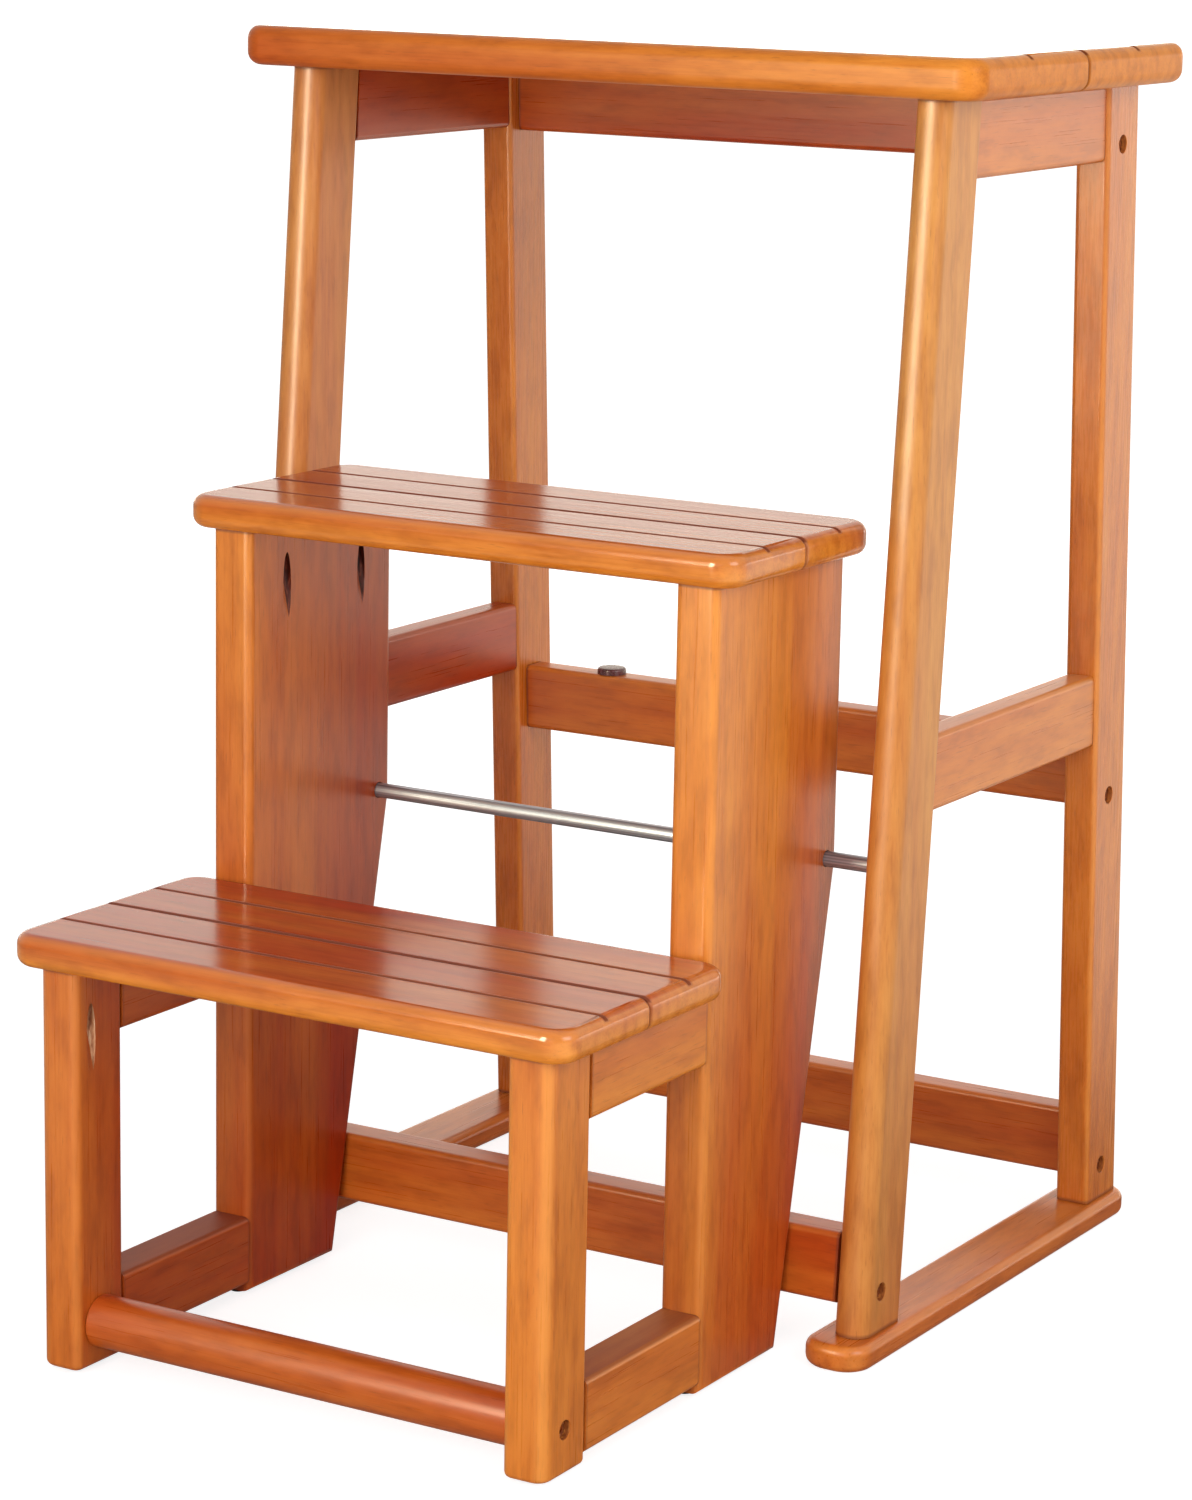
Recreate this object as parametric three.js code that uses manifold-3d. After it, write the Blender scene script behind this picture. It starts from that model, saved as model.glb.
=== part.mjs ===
// Folding step stool of lacquered wood with three treads. The two lower treads and their sides are
// one unit that flips over on a steel rod and stows under the seat.
// Millimetres: +X right, +Y back, +Z up, with the origin on the floor under the middle of the object.

import * as THREE from 'three';
import { mergeVertices } from 'three/addons/utils/BufferGeometryUtils.js';
import Module from 'manifold-3d';

const wasm = await Module();
wasm.setup();

// Overall sizes
const overallDepth = 558;
const seatHeight = 660;
const seatWidth = 439;
const middleTreadHeight = 428;
const lowerTreadHeight = 227;

// Fits and rounding
const jointGap = 0.3;
const restGap = 0.3;
const boreClearance = 0.3;
const stopClearance = 0.8;
const overrun = 5;
const cornerSteps = 4;
const edgeSteps = 3;
const boreSides = 18;

// Seat
const seatThickness = 21;
const seatFrontOverhang = 14;
const seatRearOverhang = 13;
const seatSideOverhang = 23;
const seatCornerRadius = 14;
const seatEdgeRadius = 7;

// Treads
const treadThickness = 17;
const treadOverhang = 8;
const treadRearOverhang = 7;
const treadSideOverhang = 13;
const treadCornerRadius = 14;
const treadEdgeRadius = 6;
const grooveDepth = 2.2;
const grooveHalfWidth = 1.3;

// Runners
const runnerLength = 333;
const runnerWidth = 37;
const runnerHeight = 14;
const runnerOutset = 6;
const runnerCornerRadius = 16;
const runnerEdgeRadius = 5;
const runnerFrontOverhang = 14.5;
const runnerRearOverhang = 8.2;

// Legs
const legThickness = 19.5;
const frontLegDepth = 41;
const frontLegLean = Math.tan(THREE.MathUtils.degToRad(4.35));
const rearLegDepth = 38.5;
const rearLegLean = Math.tan(THREE.MathUtils.degToRad(2.93));
const legFrontRadius = 9;
const outerFrontRadius = 8;
const innerFrontRadius = 5;
const backEdgeRadius = 3;

// Side rails of the frame
const sideRailThickness = 17;
const sideRailInset = 2;
const sideApronHeight = 41;
const sideRailHeight = 40;
const sideRailTop = 319;
const railEdgeRadius = 3;

// Cross rails of the frame
const rearRailThickness = 18;
const rearRailSetback = 9;
const rearApronHeight = 43;
const rearMiddleRailHeight = 38;
const rearLowerRailHeight = 38.5;
const rearLowerRailTop = 65.5;
const frontRailThickness = 20;
const frontRailHeight = 37;
const frontRailTop = 66;

// Bumpers that the folded unit lands on
const bumperDiameter = 17;
const bumperHeight = 4;
const bumperRounding = 1.2;
const bumperInset = 26.5;
const bumperSides = 20;

// Steel rod that the unit turns on
const rodDiameter = 8;
const rodHeight = 254;
const rodSetback = 16.2;
const rodEngagement = 12;
const rodEndChamfer = 0.8;

// Step unit
const stepUnitInset = 47;
const foldedTilt = THREE.MathUtils.degToRad(1);
const sideThickness = 24;
const sideBoardDepth = 131;
const sideBoardFootDepth = 80;
const sideBoardBendHeight = 250;
const rodEdgeDistance = 11;
const sideEdgeRadius = 4.5;
const postDepth = 38;
const postFootRadius = 3;
const stepRailHeight = 37;
const stepRailClearance = 7;
const stretcherDiameter = 27;
const stretcherHeight = 25;
const stretcherSides = 28;
const footDiameter = 9;
const footHeight = 2.2;
const footChamfer = 0.6;
const footInset = 2;
const footSides = 16;

// Pocket slots, drilled at a slant for the screws that hold the treads
const pocketRadius = 3.5;
const pocketTilt = THREE.MathUtils.degToRad(11);
const pocketLength = 60;
const frontPocketDrop = 33;
const frontPocketDistance = 33;
const rearPocketDrop = 35;
const rearPocketDistance = 30;
const postPocketDrop = 36;
const postPocketDistance = 12.5;

// Bolts
const boltHeadDiameter = 9.2;
const boltHeadHeight = 4;
const boltRecess = 3;
const boltShankDiameter = 6;
const boltLength = 50;
const boltEndGap = 1;
const apronBoltRise = 11;
const railBoltRise = 6.5;
const boltSocketDiameter = 4.6;
const boltSocketDepth = 2;

// Places worked out from the sizes
const frameWidth = seatWidth - 2 * seatSideOverhang;
const stepUnitWidth = frameWidth - 2 * stepUnitInset;
const treadWidth = stepUnitWidth + 2 * treadSideOverhang;
const legOuterX = frameWidth / 2;
const legInnerX = legOuterX - legThickness;
const legCentreX = legOuterX - legThickness / 2;
const legTop = seatHeight - seatThickness - jointGap;
const legBottom = runnerHeight + jointGap;
const runnerRear = overallDepth / 2;
const runnerFront = runnerRear - runnerLength;
const frontLegFront = (z) => runnerFront + runnerFrontOverhang + frontLegLean * z;
const frontLegRear = (z) => frontLegFront(z) + frontLegDepth;
const rearLegRear = (z) => runnerRear - runnerRearOverhang - rearLegLean * z;
const rearLegFront = (z) => rearLegRear(z) - rearLegDepth;
const seatFront = frontLegFront(legTop) - seatFrontOverhang;
const seatRear = rearLegRear(legTop) + seatRearOverhang;

const rodY = frontLegFront(rodHeight) + rodSetback;
const sideBoardRear = rodY + rodEdgeDistance;
const sideBoardFront = sideBoardRear - sideBoardDepth;
const sideBoardTop = middleTreadHeight - treadThickness - jointGap;
const lowerTreadFront = -overallDepth / 2;
const lowerTreadRear = sideBoardFront - jointGap;
const middleTreadFront = sideBoardFront - treadOverhang;
const middleTreadRear = sideBoardRear + treadRearOverhang;
const postFront = lowerTreadFront + treadOverhang;
const postRear = postFront + postDepth;
const postTop = lowerTreadHeight - treadThickness - jointGap;
const stepOuterX = stepUnitWidth / 2;
const stepInnerX = stepOuterX - sideThickness;
const stepCentreX = stepOuterX - sideThickness / 2;

// The side boards' lower rear edges slant forward, and the front lower rail stands just behind them
const sideBoardSlant = (sideBoardDepth - sideBoardFootDepth) / (sideBoardBendHeight - footHeight);
const slantRear = (z) => sideBoardFront + sideBoardFootDepth + sideBoardSlant * (z - footHeight);
const frontRailSetback = slantRear(frontRailTop) + stopClearance - frontLegFront(frontRailTop);
const frontRailFront = (z) => frontLegFront(z) + frontRailSetback;
const rearRailFront = (z) => rearLegFront(z) + rearRailSetback;

// Turned over, the lower tread's top lies on the bumpers of the rear middle rail, a little short of
// level, so it rises toward the back
const bumperFront = rearRailFront(rodHeight) + (rearRailThickness - bumperDiameter) / 2;
const foldedTreadLevel = rodHeight + (rodHeight - lowerTreadHeight) / Math.cos(foldedTilt)
  + (bumperFront - rodY) * Math.tan(foldedTilt);
const rearMiddleRailTop = foldedTreadLevel - restGap - bumperHeight;

// Materials
const wood = new THREE.MeshStandardMaterial({
  name: 'lacquered_wood', color: '#c26a35', roughness: 0.28, metalness: 0,
});
const steel = new THREE.MeshStandardMaterial({
  name: 'bright_steel', color: '#c3c4c6', roughness: 0.22, metalness: 1,
});
const boltSteel = new THREE.MeshStandardMaterial({
  name: 'bronzed_steel', color: '#6a5446', roughness: 0.4, metalness: 1,
});
const rubber = new THREE.MeshStandardMaterial({
  name: 'rubber', color: '#2a2220', roughness: 0.7, metalness: 0,
});

// A closed surface turned outward, with shared corners merged
function closedGeometry(source) {
  const geometry = source.clone();
  geometry.deleteAttribute('normal');
  geometry.deleteAttribute('uv');
  const merged = mergeVertices(geometry);
  const position = merged.attributes.position;
  const index = merged.index.array;
  const corner = [new THREE.Vector3(), new THREE.Vector3(), new THREE.Vector3()];
  let volume = 0;
  for (let i = 0; i < index.length; i += 3) {
    corner.forEach((point, k) => point.fromBufferAttribute(position, index[i + k]));
    volume += corner[0].dot(corner[1].clone().cross(corner[2]));
  }
  if (volume < 0) {
    for (let i = 0; i < index.length; i += 3) {
      [index[i], index[i + 1]] = [index[i + 1], index[i]];
    }
  }
  return merged;
}

function toSolid(geometry) {
  const closed = closedGeometry(geometry);
  return new wasm.Manifold(new wasm.Mesh({
    numProp: 3,
    vertProperties: Float32Array.from(closed.attributes.position.array),
    triVerts: Uint32Array.from(closed.index.array),
  }));
}

function toGeometry(solid) {
  const mesh = solid.getMesh();
  const geometry = new THREE.BufferGeometry();
  geometry.setAttribute('position', new THREE.BufferAttribute(mesh.vertProperties, 3));
  geometry.setIndex(new THREE.BufferAttribute(mesh.triVerts, 1));
  return geometry;
}

// Cuts each tool geometry out of the blank
function cut(blank, tools) {
  let solid = toSolid(blank);
  for (const tool of tools) solid = solid.subtract(toSolid(tool));
  return toGeometry(solid);
}

function mirrored(geometry) {
  return closedGeometry(geometry.clone().scale(-1, 1, 1));
}

// Points of a rectangle with round corners, anticlockwise from the low corner.
// The radii belong to the corners (-,-), (+,-), (+,+) and (-,+), and inset draws the outline in.
function roundedSection(width, depth, radii, inset = 0) {
  const signs = [[-1, -1], [1, -1], [1, 1], [-1, 1]];
  const points = [];
  signs.forEach(([signU, signV], corner) => {
    const radius = Math.max(radii[corner] - inset, 0);
    const centreU = signU * (width / 2 - inset - radius);
    const centreV = signV * (depth / 2 - inset - radius);
    const start = Math.PI + corner * Math.PI / 2;
    for (let step = 0; step <= cornerSteps; step += 1) {
      const angle = start + (Math.PI / 2) * (step / cornerSteps);
      points.push(new THREE.Vector2(centreU + radius * Math.cos(angle), centreV + radius * Math.sin(angle)));
    }
  });
  return points;
}

// Skins a row of rings with the same number of points and closes both ends
function skin(rings) {
  const count = rings[0].length;
  const positions = rings.flat().flatMap((point) => [point.x, point.y, point.z]);
  const index = [];
  for (let ring = 0; ring + 1 < rings.length; ring += 1) {
    for (let i = 0; i < count; i += 1) {
      const a = ring * count + i;
      const b = ring * count + (i + 1) % count;
      index.push(a, b, b + count, a, b + count, a + count);
    }
  }
  const last = (rings.length - 1) * count;
  for (let i = 1; i + 1 < count; i += 1) {
    index.push(0, i + 1, i, last, last + i, last + i + 1);
  }
  const geometry = new THREE.BufferGeometry();
  geometry.setAttribute('position', new THREE.Float32BufferAttribute(positions, 3));
  geometry.setIndex(index);
  return closedGeometry(geometry);
}

// A flat board lying in XY, centred, with round plan corners and rounded edges
function roundedSlab(width, depth, thickness, cornerRadius, edgeRadius) {
  const halfWidth = width / 2 - edgeRadius;
  const halfDepth = depth / 2 - edgeRadius;
  const radius = cornerRadius - edgeRadius;
  const outline = new THREE.Shape();
  outline.moveTo(halfWidth, radius - halfDepth);
  outline.absarc(halfWidth - radius, halfDepth - radius, radius, 0, Math.PI / 2);
  outline.absarc(radius - halfWidth, halfDepth - radius, radius, Math.PI / 2, Math.PI);
  outline.absarc(radius - halfWidth, radius - halfDepth, radius, Math.PI, 3 * Math.PI / 2);
  outline.absarc(halfWidth - radius, radius - halfDepth, radius, 3 * Math.PI / 2, 2 * Math.PI);
  const slab = new THREE.ExtrudeGeometry(outline, {
    depth: thickness - 2 * edgeRadius,
    bevelThickness: edgeRadius,
    bevelSize: edgeRadius,
    bevelSegments: edgeSteps,
    curveSegments: cornerSteps,
  });
  return slab.translate(0, 0, edgeRadius - thickness / 2);
}

// A round piece along Z with its base at zero, given as pairs of radius and height
function turned(profile, sides) {
  const points = profile.map(([radius, height]) => new THREE.Vector2(radius, height));
  return new THREE.LatheGeometry(points, sides).rotateX(Math.PI / 2);
}

function cylinderAlongX(radius, startX, endX, y, z, sides) {
  const cylinder = new THREE.CylinderGeometry(radius, radius, endX - startX, sides);
  return cylinder.rotateZ(Math.PI / 2).translate((startX + endX) / 2, y, z);
}

// A bar with a V at its lower side, along X
function grooveTool(length) {
  const bar = new THREE.CylinderGeometry(1, 1, length, 4).rotateZ(Math.PI / 2);
  return bar.scale(1, grooveHalfWidth, grooveDepth);
}

// Two boards side by side that share one rounded outline, parted by a V joint that runs round them,
// with one V groove along the middle of each board's top
function boardPair(width, depth, thickness, cornerRadius, edgeRadius) {
  const blank = roundedSlab(width, depth, thickness, cornerRadius, edgeRadius);
  const length = width + overrun;
  const grooves = [-depth / 4, 0, depth / 4].map((y) => grooveTool(length).translate(0, y, thickness / 2));
  const underGroove = grooveTool(length).translate(0, 0, -thickness / 2);
  const endGrooves = [-1, 1].map((side) => {
    const tool = new THREE.CylinderGeometry(1, 1, thickness + overrun, 4).rotateX(Math.PI / 2);
    return tool.scale(grooveDepth, grooveHalfWidth, 1).translate(side * width / 2, 0, 0);
  });
  const body = toSolid(cut(blank, [...grooves, underGroove, ...endGrooves]));
  return [-1, 1].map((side) => {
    const half = new THREE.BoxGeometry(length, depth, thickness + overrun);
    half.translate(0, side * (depth + jointGap) / 2, 0);
    return toGeometry(body.intersect(toSolid(half)));
  });
}

// A round bore for a bolt that enters from +X: the head's recess, then the shank's hole
function boltBore(faceX, y, z) {
  const headRadius = boltHeadDiameter / 2 + boreClearance;
  const shankRadius = boltShankDiameter / 2 + boreClearance;
  const seatX = faceX - boltRecess - boltHeadHeight - boreClearance;
  const endX = faceX - boltRecess - boltHeadHeight - boltLength - boltEndGap;
  return [
    cylinderAlongX(headRadius, seatX, faceX + overrun, y, z, boreSides),
    cylinderAlongX(shankRadius, endX, faceX, y, z, boreSides),
  ];
}

// A bolt along Z, head up, with its top at zero
function boltGeometry() {
  const headRadius = boltHeadDiameter / 2;
  const shankRadius = boltShankDiameter / 2;
  const socketRadius = boltSocketDiameter / 2;
  return turned([
    [0, -boltHeadHeight - boltLength],
    [shankRadius, -boltHeadHeight - boltLength],
    [shankRadius, -boltHeadHeight],
    [headRadius, -boltHeadHeight],
    [headRadius, 0],
    [socketRadius, 0],
    [socketRadius, -boltSocketDepth],
    [0, -boltSocketDepth],
  ], boreSides);
}

// A leg between the runner and the seat, whose front face stands at frontAt(z)
function legGeometry(frontAt, depth, frontRadii) {
  const section = roundedSection(
    legThickness, depth, [...frontRadii, backEdgeRadius, backEdgeRadius],
  );
  const rings = [legBottom, legTop].map((z) => section.map(
    (point) => new THREE.Vector3(legCentreX + point.x, frontAt(z) + depth / 2 + point.y, z),
  ));
  return skin(rings);
}

// A rail between the front and rear leg of the right side
function sideRailGeometry(top, height) {
  const section = roundedSection(sideRailThickness, height, Array(4).fill(railEdgeRadius));
  const centreX = legOuterX - sideRailInset - sideRailThickness / 2;
  const faces = [
    (z) => frontLegRear(z) + jointGap,
    (z) => rearLegFront(z) - jointGap,
  ];
  const rings = faces.map((faceAt) => section.map((point) => {
    const z = top - height / 2 + point.y;
    return new THREE.Vector3(centreX + point.x, faceAt(z), z);
  }));
  return skin(rings);
}

// A rail across the frame, leaning with the legs that hold it, bored for a bolt at each end
function crossRailGeometry(frontAt, thickness, top, height, boltY, boltZ) {
  const section = roundedSection(thickness, height, Array(4).fill(railEdgeRadius));
  const endX = legInnerX - jointGap;
  const rings = [-endX, endX].map((x) => section.map((point) => {
    const z = top - height / 2 + point.y;
    return new THREE.Vector3(x, frontAt(z) + thickness / 2 + point.x, z);
  }));
  const bores = boltBore(legOuterX, boltY, boltZ);
  return cut(skin(rings), [bores[1], mirrored(bores[1])]);
}

// A slanted drill that leaves a long pocket in the right side's inner face, centred at the given height
function pocketTool(y, z) {
  const drill = new THREE.CylinderGeometry(pocketRadius, pocketRadius, pocketLength, boreSides);
  drill.rotateX(Math.PI / 2);
  const reach = pocketRadius / Math.tan(pocketTilt);
  drill.translate(0, 0, reach - pocketLength / 2);
  return drill.rotateY(pocketTilt).translate(stepInnerX, y, z);
}

function sideBoardGeometry() {
  const inset = sideEdgeRadius;
  const outline = new THREE.Shape();
  outline.moveTo(sideBoardFront + inset, footHeight + inset);
  outline.lineTo(slantRear(footHeight) - inset, footHeight + inset);
  outline.lineTo(sideBoardRear - inset, sideBoardBendHeight + inset * sideBoardSlant);
  outline.lineTo(sideBoardRear - inset, sideBoardTop + overrun);
  outline.lineTo(sideBoardFront + inset, sideBoardTop + overrun);
  const blank = new THREE.ExtrudeGeometry(outline, {
    depth: sideThickness - 2 * inset,
    bevelThickness: inset,
    bevelSize: inset,
    bevelSegments: edgeSteps,
  });
  blank.rotateX(Math.PI / 2).rotateZ(Math.PI / 2).translate(stepInnerX + inset, 0, 0);
  const trim = new THREE.BoxGeometry(frameWidth, overallDepth, middleTreadHeight);
  trim.translate(0, 0, sideBoardTop + middleTreadHeight / 2);
  const rodRadius = rodDiameter / 2 + boreClearance;
  return cut(blank, [
    trim,
    cylinderAlongX(rodRadius, stepInnerX - overrun, stepOuterX + overrun, rodY, rodHeight, boreSides),
    pocketTool(sideBoardFront + frontPocketDistance, sideBoardTop - frontPocketDrop),
    pocketTool(sideBoardRear - rearPocketDistance, sideBoardTop - rearPocketDrop),
  ]);
}

// A front post with round front edges and a rounded foot
function postGeometry() {
  const radii = [innerFrontRadius, outerFrontRadius, backEdgeRadius, backEdgeRadius];
  const centreY = (postFront + postRear) / 2;
  const ringAt = (z, inset) => roundedSection(sideThickness, postDepth, radii, inset).map(
    (point) => new THREE.Vector3(stepCentreX + point.x, centreY + point.y, z),
  );
  const rings = [];
  for (let step = 0; step <= edgeSteps; step += 1) {
    const angle = (Math.PI / 2) * (step / edgeSteps);
    const inset = postFootRadius * (1 - Math.sin(angle));
    rings.push(ringAt(footHeight + postFootRadius * (1 - Math.cos(angle)), inset));
  }
  rings.push(ringAt(postTop, 0));
  return cut(skin(rings), [
    ...boltBore(stepOuterX, centreY, stretcherHeight),
    pocketTool(postFront + postPocketDistance, postTop - postPocketDrop),
  ]);
}

// A rail of the step unit's side, between the post and the side board
function stepRailGeometry(bottom) {
  const section = roundedSection(sideThickness, stepRailHeight, Array(4).fill(railEdgeRadius));
  const rings = [postRear + jointGap, sideBoardFront - jointGap].map((y) => section.map(
    (point) => new THREE.Vector3(stepCentreX + point.x, y, bottom + stepRailHeight / 2 + point.y),
  ));
  return skin(rings);
}

function stretcherGeometry() {
  const endX = stepInnerX - jointGap;
  const centreY = (postFront + postRear) / 2;
  const bar = cylinderAlongX(stretcherDiameter / 2, -endX, endX, centreY, stretcherHeight, stretcherSides);
  const bore = boltBore(stepOuterX, centreY, stretcherHeight)[1];
  return cut(bar, [bore, mirrored(bore)]);
}

// Groups: the frame stands still, and the step unit turns about the rod
const stool = new THREE.Group();
const frame = new THREE.Group();
const stepPivot = new THREE.Group();
const stepUnit = new THREE.Group();
stool.add(frame, stepPivot);
stepPivot.add(stepUnit);
stepPivot.position.set(0, rodY, rodHeight);
stepUnit.position.set(0, -rodY, -rodHeight);

function addMesh(group, name, geometry, material, x = 0, y = 0, z = 0) {
  const mesh = new THREE.Mesh(geometry, material);
  mesh.name = name;
  mesh.position.set(x, y, z);
  group.add(mesh);
  return mesh;
}

function addPair(group, name, geometry, material) {
  addMesh(group, `${name}_right`, geometry, material);
  addMesh(group, `${name}_left`, mirrored(geometry), material);
}

function addBoards(group, name, pair, front, rear, top, thickness) {
  const centreY = (front + rear) / 2;
  addMesh(group, `${name}_front`, pair[0], wood, 0, centreY, top - thickness / 2);
  addMesh(group, `${name}_rear`, pair[1], wood, 0, centreY, top - thickness / 2);
}

// Seat of two boards
const seatBoards = boardPair(seatWidth, seatRear - seatFront, seatThickness, seatCornerRadius, seatEdgeRadius);
addBoards(frame, 'seat_board', seatBoards, seatFront, seatRear, seatHeight, seatThickness);

// Cross rails and the bolts that hold them
const rearBoltY = (z) => rearRailFront(z) + rearRailThickness / 2;
const frontBoltY = (z) => (
  frontRailFront(z) + frontRailThickness / 2 + frontLegFront(z) + frontLegDepth / 2
) / 2;
const crossRails = [
  { name: 'rear_apron', top: legTop, height: rearApronHeight, boltRise: apronBoltRise, rear: true },
  {
    name: 'rear_middle_rail', top: rearMiddleRailTop, height: rearMiddleRailHeight, boltRise: railBoltRise,
    rear: true,
  },
  {
    name: 'rear_lower_rail', top: rearLowerRailTop, height: rearLowerRailHeight, boltRise: railBoltRise,
    rear: true,
  },
  { name: 'front_lower_rail', top: frontRailTop, height: frontRailHeight, boltRise: railBoltRise, rear: false },
];
for (const rail of crossRails) {
  rail.boltZ = rail.top - rail.height + rail.boltRise;
  rail.boltY = rail.rear ? rearBoltY(rail.boltZ) : frontBoltY(rail.boltZ);
  const frontAt = rail.rear ? rearRailFront : frontRailFront;
  const thickness = rail.rear ? rearRailThickness : frontRailThickness;
  const geometry = crossRailGeometry(frontAt, thickness, rail.top, rail.height, rail.boltY, rail.boltZ);
  addMesh(frame, rail.name, geometry, wood);
}

// Legs on their runners, with the bolts' bores and a blind bore for the rod in each front leg
const rodEndX = legInnerX + rodEngagement;
const rodBore = cylinderAlongX(
  rodDiameter / 2 + boreClearance, legInnerX - overrun, rodEndX + boreClearance, rodY, rodHeight, boreSides,
);
const boresFor = (rear) => crossRails.filter((rail) => rail.rear === rear).flatMap(
  (rail) => boltBore(legOuterX, rail.boltY, rail.boltZ),
);
const frontRadii = [legFrontRadius, legFrontRadius];
const rearRadii = [backEdgeRadius, backEdgeRadius];
const frontLeg = cut(legGeometry(frontLegFront, frontLegDepth, frontRadii), [rodBore, ...boresFor(false)]);
const rearLeg = cut(legGeometry(rearLegFront, rearLegDepth, rearRadii), boresFor(true));
addPair(frame, 'front_leg', frontLeg, wood);
addPair(frame, 'rear_leg', rearLeg, wood);

const runner = roundedSlab(runnerWidth, runnerLength, runnerHeight, runnerCornerRadius, runnerEdgeRadius);
runner.translate(
  legOuterX + runnerOutset - runnerWidth / 2, (runnerFront + runnerRear) / 2, runnerHeight / 2,
);
addPair(frame, 'runner', runner, wood);
addPair(frame, 'side_apron', sideRailGeometry(legTop, sideApronHeight), wood);
addPair(frame, 'side_rail', sideRailGeometry(sideRailTop, sideRailHeight), wood);

// Bumpers on the rear middle rail, with a rounded rim
const bumper = turned([
  [0, 0],
  [bumperDiameter / 2, 0],
  [bumperDiameter / 2, bumperHeight - bumperRounding],
  [bumperDiameter / 2 - bumperRounding, bumperHeight],
  [0, bumperHeight],
], bumperSides);
const bumperY = rearRailFront(rearMiddleRailTop) + rearRailThickness / 2;
for (const [name, side] of [['right', 1], ['left', -1]]) {
  const x = side * (stepOuterX - bumperInset);
  addMesh(frame, `rail_bumper_${name}`, bumper, rubber, x, bumperY, rearMiddleRailTop);
}

// Rod, held in the front legs
const rodRadius = rodDiameter / 2;
const rod = turned([
  [0, -rodEndX],
  [rodRadius - rodEndChamfer, -rodEndX],
  [rodRadius, rodEndChamfer - rodEndX],
  [rodRadius, rodEndX - rodEndChamfer],
  [rodRadius - rodEndChamfer, rodEndX],
  [0, rodEndX],
], boreSides).rotateY(Math.PI / 2);
addMesh(frame, 'axle_rod', rod, steel, 0, rodY, rodHeight);

// Bolts, one on each side for each rail and for the stretcher
const boltFromRight = boltGeometry().rotateY(Math.PI / 2);
const boltFromLeft = boltGeometry().rotateY(-Math.PI / 2);
function addBolts(group, name, faceX, y, z) {
  const x = faceX - boltRecess;
  addMesh(group, `${name}_right`, boltFromRight, boltSteel, x, y, z);
  addMesh(group, `${name}_left`, boltFromLeft, boltSteel, -x, y, z);
}
for (const rail of crossRails) {
  addBolts(frame, `${rail.name}_bolt`, legOuterX, rail.boltY, rail.boltZ);
}

// Step unit
const lowerBoards = boardPair(
  treadWidth, lowerTreadRear - lowerTreadFront, treadThickness, treadCornerRadius, treadEdgeRadius,
);
const middleBoards = boardPair(
  treadWidth, middleTreadRear - middleTreadFront, treadThickness, treadCornerRadius, treadEdgeRadius,
);
addBoards(
  stepUnit, 'lower_tread', lowerBoards, lowerTreadFront, lowerTreadRear, lowerTreadHeight, treadThickness,
);
addBoards(
  stepUnit, 'middle_tread', middleBoards, middleTreadFront, middleTreadRear, middleTreadHeight, treadThickness,
);
addPair(stepUnit, 'side_board', sideBoardGeometry(), wood);
addPair(stepUnit, 'front_post', postGeometry(), wood);
addPair(stepUnit, 'step_top_rail', stepRailGeometry(postTop - stepRailHeight), wood);
addPair(stepUnit, 'step_bottom_rail', stepRailGeometry(stepRailClearance), wood);
addMesh(stepUnit, 'front_stretcher', stretcherGeometry(), wood);
addBolts(stepUnit, 'stretcher_bolt', stepOuterX, (postFront + postRear) / 2, stretcherHeight);

// Rubber feet under the posts and the front of the side boards
const foot = turned([
  [0, 0],
  [footDiameter / 2 - footChamfer, 0],
  [footDiameter / 2, footChamfer],
  [footDiameter / 2, footHeight - jointGap],
  [0, footHeight - jointGap],
], footSides);
const feet = [
  { name: 'post_foot', y: (postFront + postRear) / 2 },
  { name: 'board_foot', y: sideBoardFront + footInset + sideEdgeRadius },
];
for (const { name, y } of feet) {
  addMesh(stepUnit, `${name}_right`, foot, rubber, stepCentreX, y, 0);
  addMesh(stepUnit, `${name}_left`, foot, rubber, -stepCentreX, y, 0);
}

export default stool;
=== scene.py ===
import bmesh
import bpy
import math
from mathutils import Matrix, Vector


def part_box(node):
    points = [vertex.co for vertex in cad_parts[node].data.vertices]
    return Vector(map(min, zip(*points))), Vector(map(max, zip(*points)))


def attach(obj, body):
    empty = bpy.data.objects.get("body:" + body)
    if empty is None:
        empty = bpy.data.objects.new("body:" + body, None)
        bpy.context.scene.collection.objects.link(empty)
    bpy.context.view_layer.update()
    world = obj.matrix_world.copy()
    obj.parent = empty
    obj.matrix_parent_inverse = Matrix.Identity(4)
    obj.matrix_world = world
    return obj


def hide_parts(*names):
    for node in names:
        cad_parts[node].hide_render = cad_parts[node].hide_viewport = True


# Folding step stool of lacquered rubberwood: a seat on four legs, and a unit of two steps that turns
# over on a steel rod. Sizes in this script are millimetres, and Blender's are metres.

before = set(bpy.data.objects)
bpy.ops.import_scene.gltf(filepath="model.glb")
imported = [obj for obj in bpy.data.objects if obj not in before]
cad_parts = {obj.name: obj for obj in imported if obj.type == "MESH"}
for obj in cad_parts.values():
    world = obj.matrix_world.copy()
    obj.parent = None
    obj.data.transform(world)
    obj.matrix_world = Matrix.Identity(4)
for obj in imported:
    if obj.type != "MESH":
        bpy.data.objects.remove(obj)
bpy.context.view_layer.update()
print("frame loaded:", len(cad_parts), "nodes")
pastFace = 5  # how far a cutter starts outside the piece


# Modelling, as by hand: start a piece, pick its corners or edges by their place, and shape them

def clearSelection():
    if bpy.context.mode != "OBJECT":
        bpy.ops.object.mode_set(mode="OBJECT")
    bpy.ops.object.select_all(action="DESELECT")


def useOnly(piece):
    clearSelection()
    piece.select_set(True)
    bpy.context.view_layer.objects.active = piece


def applyPlace():
    bpy.ops.object.transform_apply(location=True, rotation=True, scale=True)
    return bpy.context.active_object


def boxOf(node):
    return tuple(corner * 1000 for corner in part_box(node))


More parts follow.
